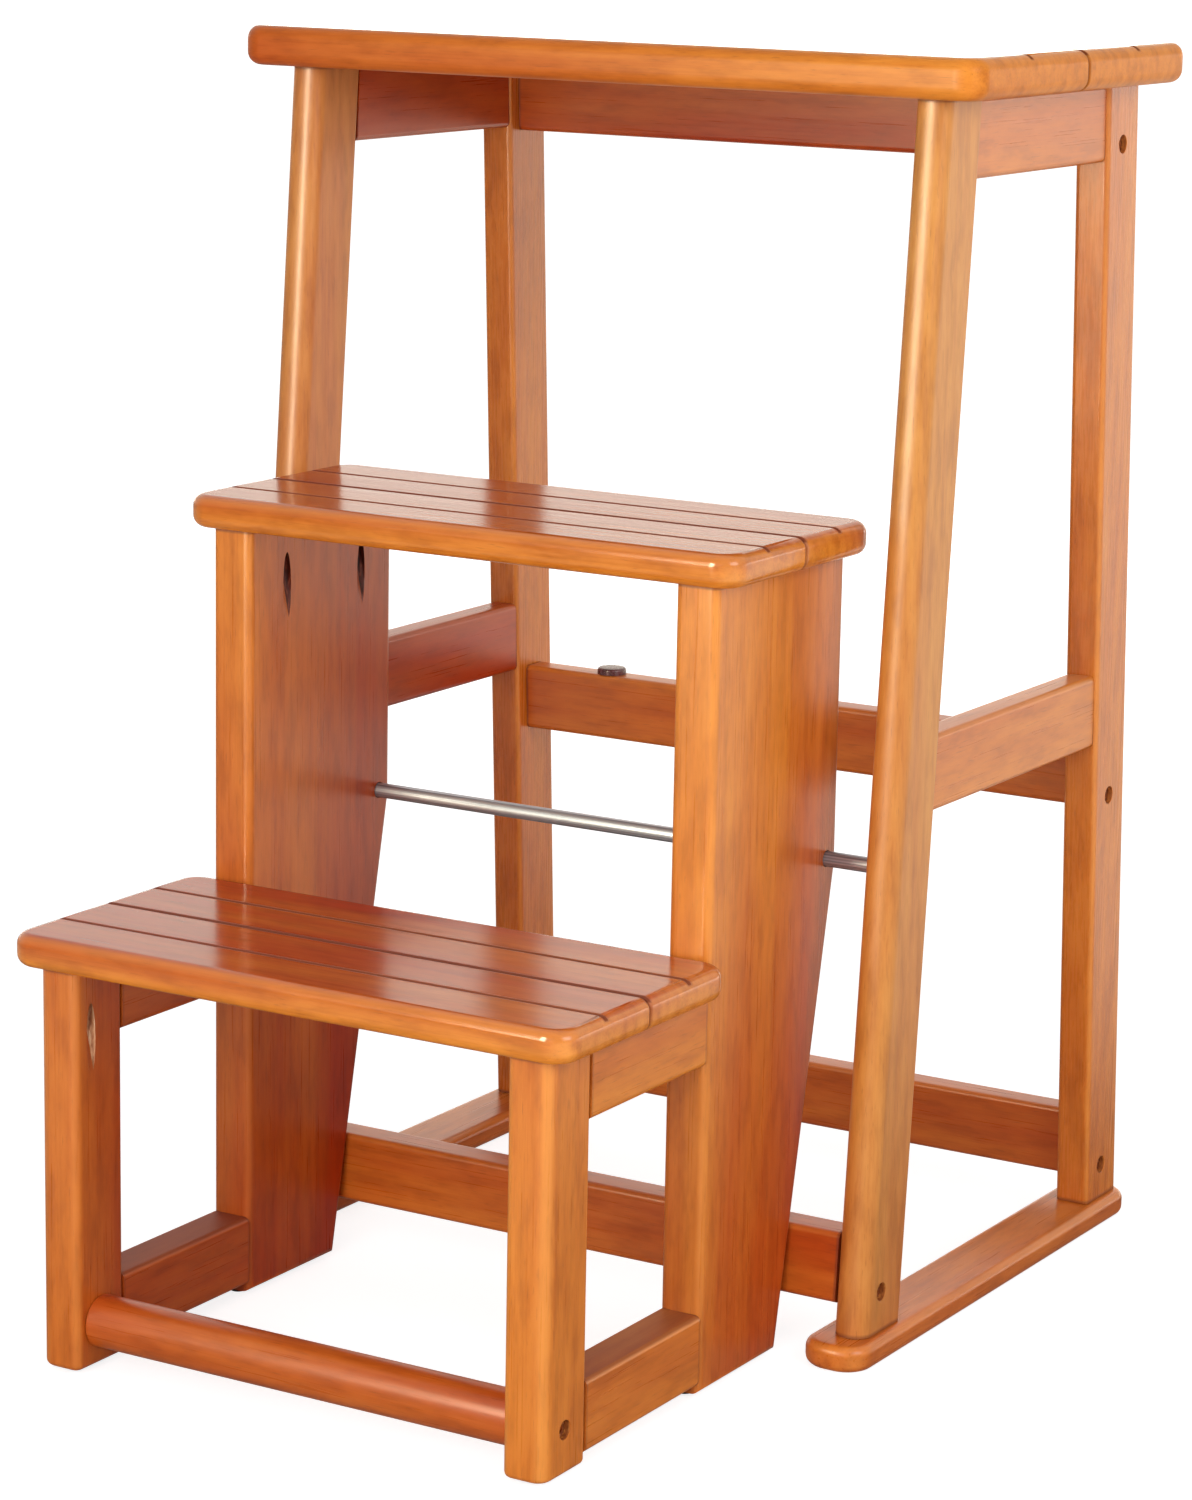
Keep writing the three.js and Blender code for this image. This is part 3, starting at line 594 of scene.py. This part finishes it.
# painted shade: the seat grows redder towards its left end, the treads towards their left ends and backs, and the
# tread tops much redder, a painted reflection of the red side boards
makeBoards(("seatFrontBoard", "seatRearBoard"), ("seat_board_front", "seat_board_rear"), "frame",
           seat, (0.38, 0.28), (-2.0, 0, 0))
makeBoards(("middleTreadFrontBoard", "middleTreadRearBoard"), ("middle_tread_front", "middle_tread_rear"),
           "step_unit", tread, (0.13, 0.2), (-1.2, 1.5, 62))
makeBoards(("lowerTreadFrontBoard", "lowerTreadRearBoard"), ("lower_tread_front", "lower_tread_rear"),
           "step_unit", tread, (0.18, 0.26), (-1.0, 1.5, 64))
print("seat and treads made")


# Legs: leaning, with full rounds in front and eased edges behind
leg = {"frontDepth": 41, "rearDepth": 38.5, "frontRound": 9, "backRound": 3}
frontFinish = {"gloss": 0.38, "shine": 0.5, "pale": "golden"}
rearFinish = {"gloss": 0.23, "shine": 0.45, "pale": "honey"}


def makeLeg(name, node, depth, lean, frontRound):
    low, high = boxOf(node)
    rise = lean * (high.z - low.z)
    startY = low.y if lean > 0 else high.y - depth
    piece = addBlock(name, (low.x, startY, low.z), (high.x, startY + depth, high.z))
    moveCorners(piece, (0, rise, 0), lambda place: place.z > low.z + 1)
    middleY = startY + depth / 2 + rise / 2
    roundEdges(piece, frontRound, 9, lambda m, along: along.z > 0.9 and m.y < middleY)
    roundEdges(piece, leg["backRound"], 4,
               lambda m, along: along.z > 0.9 and m.y > middleY + depth / 2 - 0.6)
    return piece


frontLeg = makeLeg("frontLegRight", "front_leg_right", leg["frontDepth"], frontLean, leg["frontRound"])
rod = {"radius": 4, "hole": 4.3, "chamfer": 0.8, "endGap": 0.3}
rodLow, rodHigh = boxOf("axle_rod")
rodY, rodZ = (rodLow.y + rodHigh.y) / 2, (rodLow.z + rodHigh.z) / 2
legLow, legHigh = boxOf("front_leg_right")
cutAway(frontLeg, addRound(
    "drill", rod["hole"], (legLow.x - pastFace, rodY, rodZ), (rodHigh.x + rod["endGap"], rodY, rodZ)))
drillBolt(frontLeg, legHigh.x, *boltPlace("front_lower_rail_bolt_right"))
rearLeg = makeLeg("rearLegRight", "rear_leg_right", leg["rearDepth"], rearLean, leg["backRound"])
markEdges(rearLeg)
for rail in ("rear_apron", "rear_middle_rail", "rear_lower_rail"):
    drillBolt(rearLeg, legHigh.x, *boltPlace(rail + "_bolt_right"))
frontLegLeft = twinOf(frontLeg, "frontLegLeft")
rearLegLeft = twinOf(rearLeg, "rearLegLeft")
frontBolt = boltPlace("front_lower_rail_bolt_right")
rearBolts = [boltPlace(rail + "_bolt_right") for rail in ("rear_apron", "rear_middle_rail", "rear_lower_rail")]
# each leg's share of rose is partly tone that differs at random and partly painted shade, growing towards the bottom
# on the front legs and the rear left leg
for piece, node, toneAndShade, rise, bolts, side, look in (
    (frontLeg, "front_leg_right", 0.03, -0.4, [frontBolt], 1, frontFinish),
    (frontLegLeft, "front_leg_left", 0.15, -0.4, [frontBolt], -1, frontFinish),
    (rearLeg, "rear_leg_right", 0.27, 0.1, rearBolts, 1, rearFinish),
    (rearLegLeft, "rear_leg_left", 0.2, -0.4, rearBolts, -1, rearFinish),
):
    finishWood(piece, "frame", node, "z", toneAndShade, (0, 0, rise), seams=topSeamShade(piece) + footSeamShade(piece),
               bores=[headBore(side * legHigh.x, place) for place in bolts], **look)
print("legs made")


# Runners under the legs
runner = {"corner": 16, "edge": 5}
low, high = boxOf("runner_right")
runnerRight = addBlock("runnerRight", low, high)
roundEdges(runnerRight, runner["corner"], 10, lambda middle, along: along.z > 0.9)
roundEdges(runnerRight, runner["edge"], 6, lambda middle, along: along.z < 0.1)
markEdges(runnerRight)
runnerLeft = twinOf(runnerRight, "runnerLeft")
finishWood(runnerRight, "frame", "runner_right", "y", 0.42)
finishWood(runnerLeft, "frame", "runner_left", "y", 0.45)


# Side aprons and rails, cut to the lean of the legs
sideRail = {"edge": 3}


def makeSideRail(name, node):
    low, high = boxOf(node)
    rise = high.z - low.z
    piece = addBlock(name, low, high)
    moveCorners(piece, (0, frontLean * rise, 0), lambda p: p.z > low.z + 1 and p.y < low.y + 1)
    moveCorners(piece, (0, rearLean * rise, 0), lambda p: p.z > low.z + 1 and p.y > high.y - 1)
    roundEdges(piece, sideRail["edge"], 4, lambda middle, along: along.y > 0.9)
    markEdges(piece)
    return piece


# painted shade: the left apron and rail, in shade inside the frame, take far more rose than the right ones
for name, node, toneAndShade in (("sideApron", "side_apron", 0.28), ("sideRail", "side_rail", 0.16)):
    right = makeSideRail(name + "Right", node + "_right")
    left = twinOf(right, name + "Left")
    finishWood(right, "frame", node + "_right", "y", toneAndShade, seams=endSeams(right, 1))
    finishWood(left, "frame", node + "_left", "y", 0.8, seams=endSeams(left, 1))


# Rails across the frame, leaning with the legs that hold them
crossRail = {"edge": 3, "rearDepth": 18, "frontDepth": 20}


def makeCrossRail(name, node, depth, lean, toneAndShade):
    low, high = boxOf(node)
    rise = lean * (high.z - low.z)
    middleY = (low.y + high.y) / 2
    startY = middleY - depth / 2 - rise / 2
    piece = addBlock(name, (low.x, startY, low.z), (high.x, startY + depth, high.z))
    moveCorners(piece, (0, rise, 0), lambda place: place.z > low.z + 1)
    roundEdges(piece, crossRail["edge"], 4, lambda middle, along: along.x > 0.9)
    markEdges(piece)
    y, z = boltPlace(node + "_bolt_right")
    for side in (1, -1):
        drillBolt(piece, side * legHigh.x, y, z, False)
    finishWood(piece, "frame", node, "x", toneAndShade, seams=endSeams(piece, 0))


# painted shade: the rails under the seat and low in the frame take more of the rose colour
makeCrossRail("rearApron", "rear_apron", crossRail["rearDepth"], rearLean, 0.68)
makeCrossRail("rearMiddleRail", "rear_middle_rail", crossRail["rearDepth"], rearLean, 0.5)
makeCrossRail("rearLowerRail", "rear_lower_rail", crossRail["rearDepth"], rearLean, 0.45)
makeCrossRail("frontLowerRail", "front_lower_rail", crossRail["frontDepth"], frontLean, 0.56)
print("runners and rails made")


# Side boards of the step unit: wide above, with the rear edge slanting forward below the rod
sideBoard = {"edge": 4.5, "bend": 250, "slant": 51, "slots": ((33, 33), (101, 35))}
post = {"outerRound": 8, "innerRound": 5, "backRound": 3, "footRound": 3, "slot": (12.5, 36)}
pocket = {"radius": 3.5, "tilt": 11, "depth": 18, "below": 46}


def pocketBore(innerX, y, z):  # drilled at a slant from the inner face, up toward the tread
    tilt = math.radians(pocket["tilt"])
    up = Vector((math.sin(tilt) * (1 if innerX > 0 else -1), 0, math.cos(tilt)))
    middle = Vector((innerX, y, z))
    return middle - up * pocket["below"], middle + up * pocket["depth"], pocket["radius"]


def cutPocket(piece, bore):
    start, end, radius = bore
    cutAway(piece, addRound("drill", radius, start, end, 40))


low, high = boxOf("side_board_right")
rearFrom = low.y + 40  # the board's rear edges lie behind this
sideBoardRight = addBlock("sideBoardRight", low, high)
pick(sideBoardRight, "FACE", lambda middle, normal: True)
bpy.ops.mesh.bisect(plane_co=(0, 0, sideBoard["bend"] / 1000), plane_no=(0, 0, 1))
bpy.ops.object.mode_set(mode="OBJECT")
moveCorners(sideBoardRight, (0, -sideBoard["slant"], 0), lambda p: p.z < low.z + 1 and p.y > high.y - 1)
roundEdges(sideBoardRight, sideBoard["edge"], 6, lambda middle, along: (
    along.x < 0.1 and middle.z < high.z - 0.1 and (middle.z < low.z + 0.1 or along.z > 0.5)
    and (middle.z < low.z + 0.1 or middle.y < low.y + 0.1 or middle.y > rearFrom)
))
markEdges(sideBoardRight)
cutAway(sideBoardRight, addRound(
    "drill", rod["hole"], (low.x - pastFace, rodY, rodZ), (high.x + pastFace, rodY, rodZ)))
for faceX in (low.x, high.x):
    easeBore(sideBoardRight, faceX, rodY, rodZ, rod["hole"])
for back, drop in sideBoard["slots"]:
    cutPocket(sideBoardRight, pocketBore(low.x, low.y + back, high.z - drop))
sideBoardLeft = twinOf(sideBoardRight, "sideBoardLeft")
# painted shade: more rose towards the back and the bottom, under the treads, and more on the left board than the
# right
for piece, node, toneAndShade, shadeSlope, side in (
    (sideBoardRight, "side_board_right", 0.4, (0, 2.8, -1.6), 1),
    (sideBoardLeft, "side_board_left", 0.62, (0, 3.8, -1.6), -1),
):
    finishWood(piece, "step_unit", node, "z", toneAndShade, shadeSlope, seams=topSeamShade(piece), pockets=[
        pocketBore(side * low.x, low.y + back, high.z - drop) for back, drop in sideBoard["slots"]])

# Front posts of the step unit
low, high = boxOf("front_post_right")
middleX, middleY = (low.x + high.x) / 2, (low.y + high.y) / 2
postRight = addBlock("frontPostRight", low, high)
roundEdges(postRight, post["outerRound"], 8, lambda m, along: along.z > 0.9 and m.x > middleX and m.y < middleY)
roundEdges(postRight, post["innerRound"], 6, lambda m, along: (
    along.z > 0.9 and m.x < low.x + 0.01 and m.y < low.y + 0.01))
roundEdges(postRight, post["backRound"], 4, lambda m, along: along.z > 0.9 and m.y > high.y - 0.01)
roundEdges(postRight, post["footRound"], 4, lambda m, along: along.z < 0.1 and m.z < low.z + 0.01)
markEdges(postRight)
postBolt = boltPlace("stretcher_bolt_right")
drillBolt(postRight, high.x, *postBolt)
back, drop = post["slot"]
cutPocket(postRight, pocketBore(low.x, low.y + back, high.z - drop))
postLeft = twinOf(postRight, "frontPostLeft")
# painted shade: the left post, its inner face in shade, takes far more rose than the right, growing towards its back
for piece, node, toneAndShade, shadeSlope, side in (
    (postRight, "front_post_right", 0.06, (0, 0, 0), 1), (postLeft, "front_post_left", 0.52, (0, 7, 0), -1),
):
    finishWood(piece, "step_unit", node, "z", toneAndShade, shadeSlope, seams=topSeamShade(piece),
               bores=[headBore(side * high.x, postBolt)],
               pockets=[pocketBore(side * low.x, low.y + back, high.z - drop)], pocketWalls=litPocket)

# Rails between the posts and the side boards
# painted shade: the left rails, in shade inside the step unit, take far more rose than the right ones
stepRail = {"edge": 3, "leftTone": 0.75, "endDark": 0.3}
for name, node, toneAndShade in (("stepTopRail", "step_top_rail", 0.2), ("stepBottomRail", "step_bottom_rail", 0.12)):
    low, high = boxOf(node + "_right")
    right = addBlock(name + "Right", low, high)
    roundEdges(right, stepRail["edge"], 4, lambda middle, along: along.y > 0.9)
    markEdges(right)
    left = twinOf(right, name + "Left")
    for piece, side, share in ((right, "_right", toneAndShade), (left, "_left", stepRail["leftTone"])):
        finishWood(piece, "step_unit", node + side, "y", share,
                   seams=endSeams(piece, 1, stepRail["endDark"]) + topSeamShade(piece))

# Turned stretcher between the posts, eased where it meets them
turned = {"radius": 13.5, "edge": 0.7}
low, high = boxOf("front_stretcher")
middleY, middleZ = (low.y + high.y) / 2, (low.z + high.z) / 2
stretcher = addRound(
    "frontStretcher", turned["radius"], (low.x, middleY, middleZ), (high.x, middleY, middleZ), 72)
roundEdges(stretcher, turned["edge"], 3, lambda middle, along: abs(middle.x) > high.x - 0.01)
y, z = boltPlace("stretcher_bolt_right")
postHigh = boxOf("front_post_right")[1]
for side in (1, -1):
    drillBolt(stretcher, side * postHigh.x, y, z, False)
# painted shade: the stretcher under the lower tread takes more of the rose colour
finishWood(stretcher, "step_unit", "front_stretcher", "x", 0.6)
print("step unit made")


# Steel rod with chamfered ends
steelRod = addRound("steelRod", rod["radius"], (rodLow.x, rodY, rodZ), (rodHigh.x, rodY, rodZ), 48)
roundEdges(steelRod, rod["chamfer"], 1, lambda middle, along: abs(middle.x) > rodHigh.x - 0.01)
smoothOff(steelRod)
finishPiece(steelRod, "frame", "axle_rod", drawnSteel("bright drawn steel"))

# Bolts: a round head with an eased rim and a six-sided socket, and a shank with a pointed end
bolt = {"head": 4.6, "headHeight": 4, "rim": 0.6, "socket": 2.5, "socketDepth": 2.4, "shank": 3, "length": 50,
        "tip": 1.2}


def makeBolt(name, faceX, y, z):
    seatX = faceX - bolt["headHeight"]
    piece = addRound(name, bolt["head"], (seatX, y, z), (faceX, y, z), 48)
    cutAway(piece, addRound("key", bolt["socket"], (faceX - bolt["socketDepth"], y, z), (faceX + 3, y, z), 6))
    roundEdges(piece, bolt["rim"], 4, lambda m, along: (
        m.x > faceX - 0.01 and math.hypot(m.y - y, m.z - z) > bolt["head"] - 0.3))
    shank = addRound("shank", bolt["shank"], (seatX - bolt["length"], y, z), (seatX + 0.4, y, z), 32)
    roundEdges(shank, bolt["tip"], 1, lambda m, along: m.x < seatX - bolt["length"] + 0.01)
    useOnly(piece)
    join = piece.modifiers.new("join", "BOOLEAN")
    join.operation = "UNION"
    join.object = shank
    bpy.ops.object.modifier_apply(modifier=join.name)
    bpy.data.objects.remove(shank)
    return piece


boltNodes = [(rail + "_bolt", "frame") for rail in
             ("rear_apron", "rear_middle_rail", "rear_lower_rail", "front_lower_rail")]
boltNodes.append(("stretcher_bolt", "step_unit"))
for number, (node, body) in enumerate(boltNodes):
    low, high = boxOf(node + "_right")
    words = node.split("_")
    plain = words[0] + "".join(word.capitalize() for word in words[1:])
    right = makeBolt(plain + "Right", high.x, (low.y + high.y) / 2, (low.z + high.z) / 2)
    left = twinOf(right, plain + "Left")
    for piece, side, seed in ((right, "_right", number + 6), (left, "_left", number + 5)):
        smoothOff(piece, 32)
        finishPiece(piece, body, node + side,
                    bronzedSteel("bronzed screw steel " + piece.name, seed))

# Rubber: bumpers on the rear middle rail and feet under the step unit
bumper = {"rim": 1.6, "crownWidth": 2.6, "crown": 0.25}
low, high = boxOf("rail_bumper_right")
centre = (low + high) / 2
bumperRight = addRound("railBumperRight", (high.x - low.x) / 2, (*centre.xy, low.z), (*centre.xy, high.z), 56)
roundEdges(bumperRight, bumper["rim"], 6, lambda m, along: m.z > high.z - 0.01)
moveCorners(bumperRight, (0, 0, -bumper["crown"]), lambda p: p.z > low.z + 1)
pick(bumperRight, "FACE", lambda middle, normal: normal.z > 0.999)
bpy.ops.mesh.inset(thickness=bumper["crownWidth"] / 1000, depth=bumper["crown"] / 1000)
bpy.ops.object.mode_set(mode="OBJECT")
bumperRubber = mouldedRubber("moulded rubber bumper", "#431c1c", "#6e4348", 0.26, 0.5)
for piece, side in ((bumperRight, "_right"), (twinOf(bumperRight, "railBumperLeft"), "_left")):
    smoothOff(piece)
    finishPiece(piece, "frame", "rail_bumper" + side, bumperRubber)

foot = {"rim": 0.6}
footRubber = mouldedRubber("moulded rubber foot", "#120806", "#1f120f", 0.7, 0.1)
for plain, node in (("postFoot", "post_foot"), ("boardFoot", "board_foot")):
    low, high = boxOf(node + "_right")
    centre = (low + high) / 2
    right = addRound(plain + "Right", (high.x - low.x) / 2, (*centre.xy, low.z), (*centre.xy, high.z), 40)
    roundEdges(right, foot["rim"], 3, lambda m, along: m.z < low.z + 0.01)
    for piece, side in ((right, "_right"), (twinOf(right, plain + "Left"), "_left")):
        smoothOff(piece)
        finishPiece(piece, "step_unit", node + side, footRubber)
print("metal and rubber made")


# Studio: a pale floor, white all round, and soft lamps, with places and sizes in metres. A brightness
# that changes gives where the change starts and ends and the two levels.
studio = {
    "mirrorTint": "#fff5e6", "floor": "#e0e0de", "floorSize": 80, "floorShade": (0.42, 0.42, 0.42, 1),
    # the white all round: on the wood from left to right, then mirrored from front to back and upward, and
    # a brighter strip low down behind, mirrored by the seat's top
    "roundByX": {"From Min": -0.8, "From Max": 0.8, "To Min": 0.25, "To Max": 0.4},
    "mirroredByY": {"From Min": -0.75, "From Max": 0.1, "To Min": 0.4, "To Max": 1.0},
    "mirroredByZ": {"From Min": 0.1, "From Max": 0.25, "To Min": 1.05, "To Max": 1.4},
    "stripByZ": {"From Min": 0.03, "From Max": 0.1, "To Min": 4, "To Max": 0.0},
    "stripByY": {"From Min": 0.2, "From Max": 0.6, "To Min": 0.0, "To Max": 1.0},
    # the floor: seen outward from the middle, then mirrored in the lacquer, dim near by, in front and at the left
    "seenOutward": {"From Min": 0.7, "From Max": 2.6, "To Min": 0.82, "To Max": 1.0},
    "floorOutward": {"From Min": 0.38, "From Max": 0.95, "To Min": 0.2, "To Max": 1.5},
    "floorByY": {"From Min": -3.2, "From Max": -0.9, "To Min": 0.4, "To Max": 1.0},
    "floorByX": {"From Min": -1.2, "From Max": 0.2, "To Min": 0.3, "To Max": 1.0},
    "floorAtRight": {"From Min": 0.7, "From Max": 1.4, "To Min": 1.0, "To Max": 1.4},
    "lamps": [  # name, place, aim, width and height, power, colour, and what it lights
        ("softLamp", (0.35, -2.15, 0.9), (0, -0.1, 0.3), (1.3, 1.3), 33.5, "#ffffff", "colour"),
        ("stripLamp", (-0.22, -1.33, 0.68), (0.05, -0.1, 0.68), (0.44, 0.66), 36, "#fff0cc", "gloss"),
        ("fillLamp", (2.0, -0.5, 1.3), (0, 0, 0.35), (1.1, 1.1), 20, "#ffffff", "both"),
        ("backLamp", (-1.0, 2.4, 1.1), (0, 0, 0.3), (1.4, 1.4), 24, "#ffffff", "colour"),
    ],
}
world = bpy.data.worlds.new("studioWhite")
bpy.context.scene.world = world
world.use_nodes = True
tree = world.node_tree
tree.nodes.clear()
path = addNode(tree, "ShaderNodeLightPath")
seenOrThrough = addNode(tree, "ShaderNodeMath", {"operation": "MAXIMUM"}, {
    0: path.outputs["Is Camera Ray"], 1: path.outputs["Is Transmission Ray"]})
around = addNode(tree, "ShaderNodeTexCoord")
parts = addNode(tree, "ShaderNodeSeparateXYZ", None, {0: around.outputs["Generated"]})
behind = addNode(tree, "ShaderNodeMapRange", None, {"Value": parts.outputs["Y"], **studio["mirroredByY"]})
higher = addNode(tree, "ShaderNodeMapRange", None, {"Value": parts.outputs["Z"], **studio["mirroredByZ"]})
wall = addNode(tree, "ShaderNodeMath", {"operation": "MULTIPLY"}, {0: behind.outputs[0], 1: higher.outputs[0]})
lower = addNode(tree, "ShaderNodeMapRange", None, {"Value": parts.outputs["Z"], **studio["stripByZ"]})
farBehind = addNode(tree, "ShaderNodeMapRange", None, {"Value": parts.outputs["Y"], **studio["stripByY"]})
strip = addNode(tree, "ShaderNodeMath", {"operation": "MULTIPLY"}, {0: lower.outputs[0], 1: farBehind.outputs[0]})
mirrored = addNode(tree, "ShaderNodeMath", {"operation": "ADD"}, {0: wall.outputs[0], 1: strip.outputs[0]})
fromSide = addNode(tree, "ShaderNodeMapRange", None, {"Value": parts.outputs["X"], **studio["roundByX"]})
lit = addNode(tree, "ShaderNodeMix", {"data_type": "FLOAT"}, {
    0: path.outputs["Is Glossy Ray"], 2: fromSide.outputs[0], 3: mirrored.outputs[0]})
level = addNode(tree, "ShaderNodeMix", {"data_type": "FLOAT"}, {
    0: seenOrThrough.outputs[0], 2: lit.outputs[0], 3: 1.0})
tint = addNode(tree, "ShaderNodeMix", {"data_type": "RGBA"}, {
    0: path.outputs["Is Glossy Ray"], 6: (1, 1, 1, 1), 7: linearColour(studio["mirrorTint"])})
sky = addNode(tree, "ShaderNodeBackground", None, {"Color": tint.outputs[2], "Strength": level.outputs[0]})
addNode(tree, "ShaderNodeOutputWorld", None, {"Surface": sky.outputs[0]})

clearSelection()
bpy.ops.mesh.primitive_plane_add(size=studio["floorSize"], location=(0, 0, 0))
floor = bpy.context.active_object
floor.name = "studioFloor"
# Matt white paint, rolled. The eye gets a floor that fades into the white all round.
floorPaint, tree = startMaterial("matt white studio floor")
path = addNode(tree, "ShaderNodeLightPath")
seen = addNode(tree, "ShaderNodeMath", {"operation": "MAXIMUM"}, {
    0: path.outputs["Is Camera Ray"], 1: path.outputs["Is Transmission Ray"]})
plain = addNode(tree, "ShaderNodeBsdfDiffuse", None, {"Color": linearColour(studio["floor"])})
faint = addNode(tree, "ShaderNodeBsdfDiffuse", None, {"Color": studio["floorShade"]})
spot = addNode(tree, "ShaderNodeTexCoord")
reach = addNode(tree, "ShaderNodeVectorMath", {"operation": "LENGTH"}, {0: spot.outputs["Object"]})
level = addNode(tree, "ShaderNodeMapRange", None, {"Value": reach.outputs["Value"], **studio["seenOutward"]})
glow = addNode(tree, "ShaderNodeEmission", None, {"Color": (1, 1, 1, 1), "Strength": level.outputs[0]})
bright = addNode(tree, "ShaderNodeAddShader", None, {0: faint.outputs[0], 1: glow.outputs[0]})
ground = addNode(tree, "ShaderNodeSeparateXYZ", None, {0: spot.outputs["Object"]})
mirrored = addNode(tree, "ShaderNodeMapRange", None, {
    "Value": reach.outputs["Value"], **studio["floorOutward"]}).outputs[0]
for axis, change in ((1, "floorByY"), (0, "floorByX"), (0, "floorAtRight")):
    share = addNode(tree, "ShaderNodeMapRange", None, {"Value": ground.outputs[axis], **studio[change]})
    mirrored = addNode(tree, "ShaderNodeMath", {"operation": "MULTIPLY"}, {
        0: mirrored, 1: share.outputs[0]}).outputs[0]
inLacquer = addNode(tree, "ShaderNodeEmission", None, {
    "Color": linearColour(studio["mirrorTint"]), "Strength": mirrored})
unseen = addNode(tree, "ShaderNodeMixShader", None, {
    0: path.outputs["Is Glossy Ray"], 1: plain.outputs[0], 2: inLacquer.outputs[0]})
mixed = addNode(tree, "ShaderNodeMixShader", None, {
    0: seen.outputs[0], 1: unseen.outputs[0], 2: bright.outputs[0]})
addNode(tree, "ShaderNodeOutputMaterial", None, {"Surface": mixed.outputs[0]})
floor.data.materials.append(floorPaint)

for name, place, aim, size, power, colour, lights in studio["lamps"]:
    light = bpy.data.lights.new(name, "AREA")
    light.shape = "RECTANGLE"
    light.size, light.size_y = size
    light.energy = power
    light.color = linearColour(colour)[:3]
    lamp = bpy.data.objects.new(name, light)
    lamp.location = place
    lamp.visible_glossy = lights != "colour"
    lamp.visible_diffuse = lights != "gloss"
    lamp.rotation_euler = (Vector(place) - Vector(aim)).to_track_quat("Z", "Y").to_euler()
    bpy.context.scene.collection.objects.link(lamp)

# Camera, worked out from the photograph: its place in metres, its angles in degrees, the rest in pixels
camera = {"place": (1.14557, -1.89514, 0.76476), "azimuth": 30.961, "elevation": 12.068, "roll": 1.0355,
          "focal": 4302.5, "imageHeight": 1500}
azimuth, elevation, roll = (math.radians(camera[key]) for key in ("azimuth", "elevation", "roll"))
back = Vector((
    math.sin(azimuth) * math.cos(elevation), -math.cos(azimuth) * math.cos(elevation), math.sin(elevation)))
right = (-back).cross(Vector((0, 0, 1))).normalized()
up = right.cross(-back)
across = math.cos(roll) * right + math.sin(roll) * up
upward = -math.sin(roll) * right + math.cos(roll) * up
lens = bpy.data.cameras.new("photoCamera")
lens.sensor_fit = "VERTICAL"
lens.sensor_height = 24
lens.lens = camera["focal"] / camera["imageHeight"] * lens.sensor_height
lens.clip_start = 0.05
photoCamera = bpy.data.objects.new("photoCamera", lens)
turn = Matrix((across, upward, back)).transposed().to_4x4()
photoCamera.matrix_world = Matrix.Translation(camera["place"]) @ turn
bpy.context.scene.collection.objects.link(photoCamera)
bpy.context.scene.camera = photoCamera
bpy.context.scene.view_settings.view_transform = "Standard"
print("studio and camera ready")
